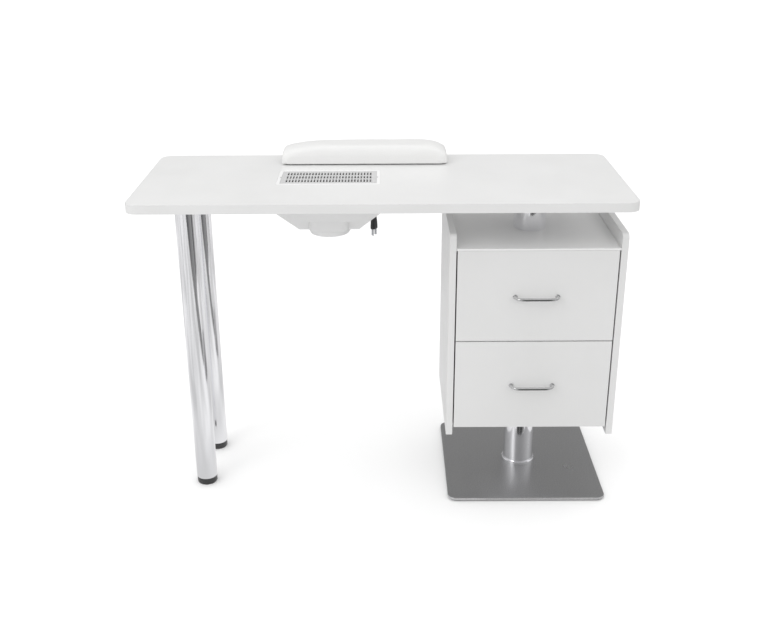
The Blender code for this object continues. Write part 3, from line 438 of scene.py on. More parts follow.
# ---------------------------------------------------------------- finishes
@dataclass(frozen=True)
class Finish:
    """A surface finish: the constants of its Principled shader and the name of its slot."""

    name: str
    slot: str
    colour: Colour
    roughness: float
    metallic: float = 0.0

    def material(self) -> bpy.types.Material:
        """Return the finish's material, made the first time it is asked for.

        Returns:
            The finish's material.
        """
        found = bpy.data.materials.get(self.name)
        if found is not None:
            return found
        made = bpy.data.materials.new(self.name)
        made.use_nodes = True
        made.diffuse_color = (*self.colour, 1.0)
        bench = Bench(made.node_tree)
        shader = made.node_tree.nodes["Principled BSDF"]
        shader.inputs["Base Color"].default_value = (*self.colour, 1.0)
        shader.inputs["Roughness"].default_value = self.roughness
        shader.inputs["Metallic"].default_value = self.metallic
        self.detail(bench, shader)
        return made

    def detail(self, bench: Bench, shader: bpy.types.Node) -> None:
        """Add the finish's own texture nodes; the plain finish adds handling marks."""
        self.rub(bench, shader, 0.04)

    def rub(self, bench: Bench, shader: bpy.types.Node, spread: float,
            scale: float = 14.0) -> None:
        """Vary the roughness about its base value.

        Args:
            bench: Bench on the material's tree.
            shader: The Principled node.
            spread: How far the roughness moves either way.
            scale: Size of the patches, in cells for each metre.
        """
        marks = place_effect(bench, Effect.MARKS, Base=self.roughness, Spread=spread,
                             Scale=scale)
        bench.link(marks.outputs["Roughness"], shader.inputs["Roughness"])

    def bump(self, bench: Bench, shader: bpy.types.Node, height: bpy.types.NodeSocket,
             strength: float, distance: float) -> None:
        """Feed a height through a Bump node into the shader's normal.

        Args:
            bench: Bench on the material's tree.
            shader: The Principled node.
            height: Height socket.
            strength: Strength of the Bump node.
            distance: Height of the relief, in metres.
        """
        node = bench.add("ShaderNodeBump", in_Strength=strength, in_Distance=distance)
        bench.link(height, node.inputs["Height"])
        bench.link(node.outputs["Normal"], shader.inputs["Normal"])


@dataclass(frozen=True)
class Laminate(Finish):
    """Melamine-faced board: a slow drift of tone, dull corners, dust and a fine skin."""

    other: Colour = (0.765, 0.765, 0.76)
    worn: Colour = (0.62, 0.61, 0.59)
    dust: float = 0.05

    def detail(self, bench: Bench, shader: bpy.types.Node) -> None:
        """Add drift, worn edges, dust, rubbed patches and the skin's relief.

        Args:
            bench: Bench on the material's tree.
            shader: The Principled node.
        """
        tone = place_effect(bench, Effect.TONE, Colour=self.colour, Other_Colour=self.other,
                            Scale=5.0)
        wear = place_effect(bench, Effect.WEAR_AND_HIGHLIGHT, Colour=tone.outputs["Colour"],
                            Worn_Colour=self.worn, Reach=0.0009, Amount=0.25)
        dust = place_effect(bench, Effect.DUST, Colour=wear.outputs["Colour"], Amount=self.dust)
        bench.link(dust.outputs["Colour"], shader.inputs["Base Color"])
        self.rub(bench, shader, 0.05)
        peel = place_effect(bench, Effect.PEEL, Scale=420.0)
        self.bump(bench, shader, peel.outputs["Height"], 0.12, 0.00006)


@dataclass(frozen=True)
class MouldedPlastic(Finish):
    """Moulded plastic with a fine spark-eroded skin."""

    other: Colour = (0.76, 0.76, 0.76)
    skin_scale: float = 900.0
    skin_depth: float = 0.00008

    def detail(self, bench: Bench, shader: bpy.types.Node) -> None:
        """Add drift, dust, rubbed patches and the mould's texture.

        Args:
            bench: Bench on the material's tree.
            shader: The Principled node.
        """
        tone = place_effect(bench, Effect.TONE, Colour=self.colour, Other_Colour=self.other,
                            Scale=12.0)
        wear = place_effect(bench, Effect.WEAR_AND_HIGHLIGHT, Colour=tone.outputs["Colour"],
                            Worn_Colour=self.other, Reach=0.0006, Amount=0.5)
        bench.link(wear.outputs["Colour"], shader.inputs["Base Color"])
        self.rub(bench, shader, 0.06, 30.0)
        peel = place_effect(bench, Effect.PEEL, Scale=self.skin_scale)
        self.bump(bench, shader, peel.outputs["Height"], 0.25, self.skin_depth)


@dataclass(frozen=True)
class PolishedChrome(Finish):
    """Plated tube: bright, with faint wiping haze and a slightly drawn surface."""

    def detail(self, bench: Bench, shader: bpy.types.Node) -> None:
        """Add wiping haze to the roughness and a very faint ripple to the relief.

        Args:
            bench: Bench on the material's tree.
            shader: The Principled node.
        """
        self.rub(bench, shader, 0.03, 9.0)
        ripple = place_effect(bench, Effect.PEEL, Scale=12.0)
        self.bump(bench, shader, ripple.outputs["Height"], 0.02, 0.00002)


@dataclass(frozen=True)
class BlastedSteel(Finish):
    """Satin steel cover, blasted and buffed outwards from the column, with a painted highlight along
    its edges.
    """

    fleck: Colour = (0.54, 0.54, 0.545)
    # Near-white colour of the painted highlight laid along the cover's edges.
    bright: Colour = (0.95, 0.95, 0.96)
    centre: Point = (0.345, 0.0, 0.0)

    def detail(self, bench: Bench, shader: bpy.types.Node) -> None:
        """Add speckle, a painted edge highlight, rubbed patches and the relief of speckle and buffing.

        Args:
            bench: Bench on the material's tree.
            shader: The Principled node.
        """
        speckle = place_effect(bench, Effect.SPECKLE, Colour=self.colour,
                               Fleck_Colour=self.fleck, Scale=330.0)
        # Painted highlight: the edge mask lays the near-white colour along the cover's edges in place
        # of their reflections.
        wear = place_effect(bench, Effect.WEAR_AND_HIGHLIGHT, Colour=speckle.outputs["Colour"],
                            Worn_Colour=self.bright, Reach=0.0007, Amount=1.0)
        bench.link(wear.outputs["Colour"], shader.inputs["Base Color"])
        self.rub(bench, shader, 0.05, 10.0)
        fine = bench.maths("MULTIPLY", speckle.outputs["Height"], 0.07)
        height = bench.maths("ADD", fine, self.buffing(bench))
        self.bump(bench, shader, height, 0.30, 0.0004)

    def buffing(self, bench: Bench) -> bpy.types.NodeSocket:
        """Return the height of fine lines that run outwards from the column.

        Args:
            bench: Bench on the material's tree.

        Returns:
            The height's socket.
        """
        place = bench.add("ShaderNodeTexCoord").outputs["Object"]
        shift = bench.add("ShaderNodeVectorMath", operation="SUBTRACT")
        shift.inputs[1].default_value = self.centre
        bench.link(place, shift.inputs[0])
        parts = bench.add("ShaderNodeSeparateXYZ")
        bench.link(shift.outputs[0], parts.inputs[0])
        length = bench.add("ShaderNodeVectorMath", operation="LENGTH")
        bench.link(shift.outputs[0], length.inputs[0])
        turn = bench.maths("ARCTAN2", parts.outputs["Y"], parts.outputs["X"])
        polar = bench.add("ShaderNodeCombineXYZ")
        bench.link(bench.maths("MULTIPLY", turn, 9.0), polar.inputs["X"])
        bench.link(bench.maths("MULTIPLY", length.outputs["Value"], 4.0), polar.inputs["Y"])
        lines = bench.add("ShaderNodeTexNoise", in_Scale=1.0, in_Detail=5.0)
        bench.link(polar.outputs[0], lines.inputs["Vector"])
        return bench.maths("MULTIPLY", lines.outputs["Fac"],
                           bench.maths("MULTIPLY", length.outputs["Value"], 12.0))


@dataclass(frozen=True)
class PlatedSteel(Finish):
    """Zinc-plated pressed steel, drawn along its length."""

    line: Colour = (0.45, 0.46, 0.48)

    def detail(self, bench: Bench, shader: bpy.types.Node) -> None:
        """Add drawing lines, edge wear and patches.

        Args:
            bench: Bench on the material's tree.
            shader: The Principled node.
        """
        brush = place_effect(bench, Effect.BRUSH, Colour=self.colour, Line_Colour=self.line,
                             Scale=700.0)
        wear = place_effect(bench, Effect.WEAR_AND_HIGHLIGHT, Colour=brush.outputs["Colour"],
                            Worn_Colour=(0.8, 0.8, 0.8), Reach=0.0005, Amount=0.5)
        bench.link(wear.outputs["Colour"], shader.inputs["Base Color"])
        self.rub(bench, shader, 0.08, 25.0)
        self.bump(bench, shader, brush.outputs["Height"], 0.2, 0.00005)


@dataclass(frozen=True)
class Casting(Finish):
    """Painted casting or dull rubber: speckled tone and a coarse skin."""

    fleck: Colour = (0.09, 0.09, 0.09)
    depth: float = 0.0002

    def detail(self, bench: Bench, shader: bpy.types.Node) -> None:
        """Add speckle, patches and relief.

        Args:
            bench: Bench on the material's tree.
            shader: The Principled node.
        """
        speckle = place_effect(bench, Effect.SPECKLE, Colour=self.colour,
                               Fleck_Colour=self.fleck, Scale=500.0)
        bench.link(speckle.outputs["Colour"], shader.inputs["Base Color"])
        self.rub(bench, shader, 0.06)
        self.bump(bench, shader, speckle.outputs["Height"], 0.4, self.depth)


@dataclass(frozen=True)
class Leathercloth(Finish):
    """White coated leathercloth: pebbled grain with slightly darker creases."""

    crease: Colour = (0.70, 0.69, 0.68)
    other: Colour = (0.81, 0.81, 0.80)

    def detail(self, bench: Bench, shader: bpy.types.Node) -> None:
        """Add drift, creases, rubbed patches and the grain's relief.

        Args:
            bench: Bench on the material's tree.
            shader: The Principled node.
        """
        tone = place_effect(bench, Effect.TONE, Colour=self.colour, Other_Colour=self.other,
                            Scale=10.0)
        grain = place_effect(bench, Effect.GRAIN, Scale=650.0)
        share = bench.maths("MULTIPLY", grain.outputs["Crease"], 0.5)
        mixed = bench.mix_colours(share, tone.outputs["Colour"], self.crease)
        bench.link(mixed, shader.inputs["Base Color"])
        shader.inputs["Coat Weight"].default_value = 0.08
        shader.inputs["Coat Roughness"].default_value = 0.35
        self.rub(bench, shader, 0.05, 20.0)
        self.bump(bench, shader, grain.outputs["Height"], 0.35, 0.00012)


LAMINATE = Laminate("white laminate", "white_laminate", (0.79, 0.79, 0.787), 0.36)
# Lighter copy of the white laminate for the deck: painted light that lifts the shade under the
# tabletop.
DECK_LAMINATE_PAINTED_LIGHTER = Laminate("deck laminate painted lighter", "white_laminate", (0.89, 0.89, 0.887), 0.36,
                         other=(0.88, 0.88, 0.876))
LINING = Laminate("drawer lining", "drawer_lining", (0.80, 0.80, 0.79), 0.55,
                  other=(0.76, 0.76, 0.75), dust=0.12)
EDGING = MouldedPlastic("white edging", "white_edging", (0.78, 0.78, 0.777), 0.48,
                        other=(0.755, 0.755, 0.75), skin_scale=500.0, skin_depth=0.00004)
WHITE_PLASTIC = MouldedPlastic("white plastic", "white_plastic", (0.89, 0.89, 0.89), 0.36,
                               other=(0.87, 0.87, 0.867))
GREY_PLASTIC = MouldedPlastic("grey plastic", "grey_plastic", (0.62, 0.62, 0.62), 0.45,
                              other=(0.57, 0.57, 0.57))
BLACK_PLASTIC = MouldedPlastic("black plastic", "black_plastic", (0.016, 0.016, 0.017), 0.42,
                               other=(0.030, 0.030, 0.030), skin_scale=1400.0)
CHROME = PolishedChrome("chrome", "chrome", (0.84, 0.842, 0.845), 0.07, 1.0)
# Darker copy of the chrome for the drawer handles: painted shade in place of the darker reflections on
# the bars.
HANDLE_CHROME_PAINTED_DARKER = PolishedChrome("handle chrome painted darker", "chrome", (0.60, 0.602, 0.605), 0.16, 1.0)
STEEL_COVER = BlastedSteel("blasted steel", "brushed_steel", (0.45, 0.45, 0.452), 0.33, 1.0)
ZINC = PlatedSteel("zinc plate", "zinc_steel", (0.60, 0.61, 0.63), 0.38, 1.0)
IRON = Casting("painted iron", "cast_iron", (0.030, 0.030, 0.030), 0.62)
RUBBER = Casting("rubber", "black_rubber", (0.020, 0.020, 0.020), 0.80,
                 fleck=(0.032, 0.032, 0.032), depth=0.0001)
FOOT_PLASTIC = MouldedPlastic("foot plastic", "black_plastic", (0.035, 0.035, 0.036), 0.30,
                              other=(0.050, 0.050, 0.050))
CORD_JACKET = MouldedPlastic("cord jacket", "black_plastic", (0.014, 0.014, 0.015), 0.50,
                             other=(0.024, 0.024, 0.024), skin_scale=600.0)
SCREW_STEEL = PlatedSteel("screw steel", "zinc_steel", (0.66, 0.66, 0.67), 0.30, 1.0)
LEATHERCLOTH = Leathercloth("white leathercloth", "white_leatherette", (0.80, 0.80, 0.797), 0.46)


# ---------------------------------------------------------------- mesh helpers
WELD_DISTANCE = 0.00001
BOARD_ROUND = 0.0004
CLIP_ROUND = 0.0005
PLATE_ROUND = 0.0006


def add_sharp_edges(piece: bpy.types.Object, angle: float) -> None:
    """Split the edges of a smooth piece that are sharper than an angle in degrees."""
    split = piece.modifiers.new("sharp edges", "EDGE_SPLIT")
    split.split_angle = math.radians(angle)


def dress_node(frame: dict, names: Iterable[str], finish: Finish, rounding: float = 0.0,
               angle: float = 35.0) -> None:
    """Give CAD nodes a finish, shade their round faces smooth and round their sharp edges.

    Args:
        names: CAD nodes.
        finish: Finish of the nodes.
        rounding: Width of the small round on sharp edges, in metres, or 0 for none.
        angle: Edges sharper than this many degrees stay sharp.
    """
    for name in names:
        node = frame["nodes"][name]
        mesh = node.data
        mesh.materials.clear()
        mesh.materials.append(finish.material())
        if "custom_normal" in mesh.attributes:
            mesh.attributes.remove(mesh.attributes["custom_normal"])
        mesh.polygons.foreach_set("use_smooth", [True] * len(mesh.polygons))
        weld = node.modifiers.new("weld", "WELD")
        weld.merge_threshold = WELD_DISTANCE
        if rounding:
            add_bevel(node, rounding, 2, angle)
        add_sharp_edges(node, angle)
        node.modifiers.new("flat faces", "WEIGHTED_NORMAL").keep_sharp = True
        LOG.info("dressed %s in %s", name, finish.name)


def add_bevel(piece: bpy.types.Object, width: float, segments: int, angle: float) -> None:
    """Round the edges of a piece that are sharper than an angle in degrees.

    Args:
        piece: Piece to round.
        width: Width of the round, in metres.
        segments: Steps across the round.
        angle: Edges sharper than this many degrees are rounded.
    """
    bevel = piece.modifiers.new("rounding", "BEVEL")
    bevel.width = width
    bevel.segments = segments
    bevel.limit_method = "ANGLE"
    bevel.angle_limit = math.radians(angle)
    bevel.use_clamp_overlap = True


def mesh_piece(name: str, bm: bmesh.types.BMesh, finish: Finish, body: str,
               smooth: bool = True) -> bpy.types.Object:
    """Turn a bmesh into a piece that rides on a body.

    Args:
        name: Name of the piece.
        bm: Its mesh, which is freed.
        finish: Its finish.
        body: CAD body that it rides on.
        smooth: Whether its faces are shaded smooth.

    Returns:
        The piece.
    """
    mesh = bpy.data.meshes.new(name)
    bm.to_mesh(mesh)
    bm.free()
    mesh.polygons.foreach_set("use_smooth", [smooth] * len(mesh.polygons))
    piece = bpy.data.objects.new(name, mesh)
    bpy.context.scene.collection.objects.link(piece)
    return settle(piece, finish, body)


def settle(piece: bpy.types.Object, finish: Finish, body: str) -> bpy.types.Object:
    """Give a placed piece its finish, make it ride on a body and report it.

    Args:
        piece: Piece to finish.
        finish: Its finish.
        body: CAD body that it rides on.

    Returns:
        The piece.
    """
    piece.data.materials.append(finish.material())
    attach(piece, body)
    LOG.info("built %s on %s", piece.name, body)
    return piece


def sweep(name: str, path: Sequence[Point], radius: float, finish: Finish,
          body: str) -> bpy.types.Object:
    """Round wire along a path, as a curve with filled ends.

    Args:
        name: Name of the piece.
        path: Points of its centreline.
        radius: Its radius in metres.
        finish: Its finish.
        body: CAD body that it rides on.

    Returns:
        The curve object.
    """
    curve = bpy.data.curves.new(name, "CURVE")
    curve.dimensions = "3D"
    curve.bevel_depth = radius
    curve.bevel_resolution = 5
    curve.use_fill_caps = True
    spline = curve.splines.new("POLY")
    spline.points.add(len(path) - 1)
    for point, place in zip(spline.points, path):
        point.co = (*place, 1.0)
    spline.use_smooth = True
    piece = bpy.data.objects.new(name, curve)
    bpy.context.scene.collection.objects.link(piece)
    return settle(piece, finish, body)


def smooth_path(route: Sequence[Point], per_span: int = 4) -> list[Vector]:
    """Catmull-Rom curve through the points of a route.

    Args:
        route: Points that the curve goes through.
        per_span: Points made for each span.

    Returns:
        The curve's points.
    """
    points = [Vector(point) for point in route]
    padded = [2 * points[0] - points[1], *points, 2 * points[-1] - points[-2]]
    path = []
    for before, start, end, after in zip(padded, padded[1:], padded[2:], padded[3:]):
        for step in range(per_span):
            t = step / per_span
            path.append(0.5 * (2 * start + (end - before) * t
                               + (2 * before - 5 * start + 4 * end - after) * t ** 2
                               + (3 * start - before - 3 * end + after) * t ** 3))
    path.append(points[-1])
    return path


def turned_bmesh(profile: Sequence[tuple[float, float]], steps: int = 40) -> bmesh.types.BMesh:
    """Turn a profile of (radius, height) points about Z, closed at the axis or on itself.

    Args:
        profile: Points of the outline, outward side to the right of the walk upwards.
        steps: Steps round the axis.

    Returns:
        The turned mesh.
    """
    bm = bmesh.new()
    ring = [bm.verts.new((radius, 0.0, height)) for radius, height in profile]
    edges = [bm.edges.new(pair) for pair in zip(ring, ring[1:])]
    if profile[0][0] > 1e-6:
        edges.append(bm.edges.new((ring[-1], ring[0])))
    bmesh.ops.spin(bm, geom=[*ring, *edges], axis=(0, 0, 1), cent=(0, 0, 0), steps=steps,
                   angle=2 * math.pi)
    bmesh.ops.remove_doubles(bm, verts=bm.verts, dist=0.000005)
    bmesh.ops.recalc_face_normals(bm, faces=bm.faces)
    return bm


def aimed(direction: Point, place: Point) -> Matrix:
    """Matrix that turns +Z to a direction and moves the origin to a place."""
    turn = Vector((0, 0, 1)).rotation_difference(Vector(direction)).to_matrix().to_4x4()
    return Matrix.Translation(place) @ turn


@dataclass(frozen=True)
class Fastener:
    """Cross-recessed screw head, copied to many places as one piece."""

    radius: float
    height: float

    def head(self) -> bpy.types.Mesh:
        """Return the head's mesh, standing on the origin along +Z, made once for each size.

        Returns:
            The head's mesh.
        """
        name = "screw head %.2f mm" % (1000 * self.radius)
        found = bpy.data.meshes.get(name)
        if found is not None:
            return found
        r, h = self.radius, self.height
        profile = [(0.0, 0.0), (r, 0.0), (r, 0.25 * h), (0.93 * r, 0.55 * h),
                   (0.78 * r, 0.82 * h), (0.5 * r, h), (0.0, h)]
        bm = turned_bmesh(profile, 24)
        head = bpy.data.objects.new(name, bpy.data.meshes.new(name))
        bm.to_mesh(head.data)
        bm.free()
        bpy.context.scene.collection.objects.link(head)
        cross = bmesh.new()
        for turn in (0.0, math.pi / 2):
            arm = bmesh.ops.create_cube(cross, size=1.0)["verts"]
            bmesh.ops.scale(cross, vec=(1.05 * r, 0.24 * r, 1.2 * h), verts=arm)
            bmesh.ops.rotate(cross, matrix=Matrix.Rotation(turn, 3, "Z"), verts=arm)
            bmesh.ops.translate(cross, vec=(0, 0, 1.05 * h), verts=arm)
        cutter = bpy.data.objects.new(name + " cross", bpy.data.meshes.new(name + " cross"))
        cross.to_mesh(cutter.data)
        cross.free()
        bpy.context.scene.collection.objects.link(cutter)
        cut = head.modifiers.new("cross", "BOOLEAN")
        cut.solver = "EXACT"
        cut.use_self = True
        cut.object = cutter
        graph = bpy.context.evaluated_depsgraph_get()
        made = bpy.data.meshes.new_from_object(head.evaluated_get(graph))
        bpy.data.objects.remove(head, do_unlink=True)
        bpy.data.objects.remove(cutter, do_unlink=True)
        made.name = name
        return made

    def cluster(self, name: str, places: Iterable[tuple[Point, Point]], finish: Finish,
                body: str) -> bpy.types.Object:
        """Put a head at each place.

        Args:
            name: Name of the piece.
            places: Where each head stands and which way it faces.
            finish: Finish of the heads.
            body: CAD body that they ride on.

        Returns:
            The piece that holds all the heads.
        """
        head = self.head()
        bm = bmesh.new()
        for place, direction in places:
            first = len(bm.verts)
            bm.from_mesh(head)
            bm.verts.ensure_lookup_table()
            bmesh.ops.transform(bm, matrix=aimed(direction, place), verts=bm.verts[first:])
        piece = mesh_piece(name, bm, finish, body)
        add_sharp_edges(piece, 40.0)
        return piece


HOPPER_SCREW = Fastener(0.0032, 0.0016)
MOTOR_SCREW = Fastener(0.0026, 0.0014)
LEG_SCREW = Fastener(0.0042, 0.0020)
COLUMN_SCREW = Fastener(0.0046, 0.0022)
BACK_SCREW = Fastener(0.0030, 0.0012)
HANDLE_SCREW = Fastener(0.0040, 0.0020)


# ---------------------------------------------------------------- camera, floor and light
@dataclass
class Studio:
    """Camera, pale floor, soft key light and surroundings."""

    eye: Point = (0.0061, -2.2819, 1.3713)
    yaw: float = 0.047
    pitch: float = 22.55
    roll: float = -0.277
    lens: float = 47.48
    floor_radius: float = 16.0
    sheet_gap: float = 0.0002
    floor_seen: float = 0.97
    floor_bounce: float = 0.58
    floor_glow: float = 0.045
    key_place: Point = (-2.2, -2.2, 2.6)
    key_size: float = 1.8
    key_power: float = 16.0
    horizon_light: float = 1.02
    zenith_light: float = 1.20

    def build(self) -> None:
        """Make the camera, the floor, the key light and the world."""
        self.camera()
        self.floor()
        self.key_light()
        self.world()
        bpy.context.scene.view_settings.view_transform = "Standard"
        LOG.info("set up the studio")

    def camera(self) -> None:
        """Make the camera, with no shift and no depth of field."""
        data = bpy.data.cameras.new("camera")
        data.lens = self.lens
        data.sensor_width = 36.0
        camera = bpy.data.objects.new("camera", data)
        camera.matrix_world = (Matrix.Translation(self.eye)
                               @ Matrix.Rotation(math.radians(self.yaw), 4, "Z")
                               @ Matrix.Rotation(math.radians(90.0 - self.pitch), 4, "X")
                               @ Matrix.Rotation(math.radians(self.roll), 4, "Z"))
        bpy.context.scene.collection.objects.link(camera)
        bpy.context.scene.camera = camera

    def floor_paint(self, tone: float) -> bpy.types.Material:
        """Return a plain matt material of a grey tone from 0 to 1.

        Args:
            tone: Grey of the material, from 0 to 1.

        Returns:
            The material.
        """
        material = bpy.data.materials.new("floor paper")
        material.use_nodes = True
        shader = material.node_tree.nodes["Principled BSDF"]
        shader.inputs["Base Color"].default_value = (tone, tone, tone, 1.0)
        shader.inputs["Roughness"].default_value = 0.9
        shader.inputs["Specular IOR Level"].default_value = 0.1
        shader.inputs["Emission Color"].default_value = WHITE
        shader.inputs["Emission Strength"].default_value = self.floor_glow
        return material

    def paper_paint(self) -> bpy.types.Material:
        """Return the glowing material of the paper, uneven as a lit sheet is.

        Returns:
            The material.
        """
        material = bpy.data.materials.new("lit paper")
        material.use_nodes = True
        shader = material.node_tree.nodes["Principled BSDF"]
        shader.inputs["Base Color"].default_value = (0.0, 0.0, 0.0, 1.0)
        shader.inputs["Specular IOR Level"].default_value = 0.0
        shader.inputs["Emission Strength"].default_value = 1.0
        bench = Bench(material.node_tree)
        glow = bench.map_range(noise(bench, 1.5, 2.0), 0.36, 0.64, 0.62, 0.96)
        bench.link(glow, shader.inputs["Emission Color"])
        return material

    def floor(self) -> None:
        """Make the round floor, what lights from below, and the paper that metal reflects."""
        around = [(self.floor_radius * math.cos(math.radians(3.75 * step)),
                   self.floor_radius * math.sin(math.radians(3.75 * step)))
                  for step in range(96)]
        paper = [(-3.2, -3.2), (-0.3, -3.2), (0.02, -2.34), (0.30, -1.1), (0.25, -0.45),
                 (0.24, -0.207), (0.46, -0.207), (0.70, -0.75), (1.05, -0.55), (1.15, 0.4),
                 (3.2, 1.2), (3.2, 2.8), (-3.2, 2.8)]
        sheets = (("floor", around, self.floor_paint(self.floor_seen)),
                  ("underlay", around, self.floor_paint(self.floor_bounce)),
                  ("paper", paper, self.paper_paint()))
        for number, (name, outline, paint) in enumerate(sheets, 1):
            mesh = bpy.data.meshes.new(name)
            mesh.from_pydata([(x, y, 0.0) for x, y in outline], [], [range(len(outline))])
            mesh.materials.append(paint)
            sheet = bpy.data.objects.new(name, mesh)
            sheet.location.z = -self.sheet_gap * number
            bpy.context.scene.collection.objects.link(sheet)
            sheet.visible_camera = name == "floor"
            sheet.visible_diffuse = sheet.visible_shadow = name == "underlay"
            sheet.visible_glossy = name == "paper"

    def key_light(self) -> None:
        """Make the large soft light above, a little in front and to the left."""
        data = bpy.data.lights.new("key", "AREA")
        data.shape = "DISK"
        data.size = self.key_size
        data.energy = self.key_power
        light = bpy.data.objects.new("key", data)
        aim = (Vector((0.0, 0.0, 0.5)) - Vector(self.key_place)).normalized()
        light.matrix_world = aimed(tuple(-aim), self.key_place)
        bpy.context.scene.collection.objects.link(light)

    def world(self) -> None:
        """White surroundings, brightest overhead; gloss sees a room with darker parts."""
        world = bpy.data.worlds.new("studio")
        world.use_nodes = True
        bpy.context.scene.world = world
        bench = Bench(world.node_tree)
        world.node_tree.nodes.clear()
        direction = bench.add("ShaderNodeTexCoord").outputs["Generated"]
        parts = bench.add("ShaderNodeSeparateXYZ")
        bench.link(direction, parts.inputs[0])
        even = bench.add("ShaderNodeBackground", in_Color=WHITE)
        bench.link(bench.map_range(parts.outputs["Z"], 0.0, 1.0, self.horizon_light,
                                   self.zenith_light), even.inputs["Strength"])
        room = bench.add("ShaderNodeBackground", in_Color=WHITE)
        behind = bench.map_range(parts.outputs["Y"], -0.1, 0.75, 0.95, 0.36)
        before = bench.map_range(parts.outputs["Y"], -0.95, -0.25, 0.40, 0.95)
        depth = bench.maths("MINIMUM", behind, before)
        bench.link(bench.maths("MULTIPLY", depth, self.room_walls(bench, direction, parts)),
                   room.inputs["Strength"])
        mix = bench.add("ShaderNodeMixShader")
        bench.link(bench.add("ShaderNodeLightPath").outputs["Is Glossy Ray"], mix.inputs[0])
        bench.link(even.outputs[0], mix.inputs[1])
        bench.link(room.outputs[0], mix.inputs[2])
        bench.link(mix.outputs[0], bench.add("ShaderNodeOutputWorld").inputs["Surface"])

    def room_walls(self, bench: Bench, direction: bpy.types.NodeSocket,
                   parts: bpy.types.Node) -> bpy.types.NodeSocket:
        """Brightness of the room that gloss sees: upright bands, darker low down to the right.

        Args:
            bench: Bench on the world's tree.
            direction: Direction of the ray.
            parts: Separate XYZ node of the direction.

        Returns:
            The brightness socket.
        """
        flatten = bench.add("ShaderNodeMapping")
        flatten.inputs["Scale"].default_value = (1.0, 1.0, 0.08)
        bench.link(direction, flatten.inputs["Vector"])
        bands = bench.add("ShaderNodeTexNoise", in_Scale=3.4, in_Detail=1.0)
        bench.link(flatten.outputs["Vector"], bands.inputs["Vector"])
        low = bench.map_range(bands.outputs["Fac"], 0.40, 0.60, 0.10, 0.42)
        left = bench.map_range(parts.outputs["X"], -0.75, -0.25, 0.75, 0.0)
        low = bench.maths("MAXIMUM", low, left)
        upward = bench.map_range(parts.outputs["Z"], -0.05, 0.25, 0.0, 1.0)
        return bench.maths("ADD", low, bench.maths(
            "MULTIPLY", upward, bench.maths("SUBTRACT", 1.0, low)))


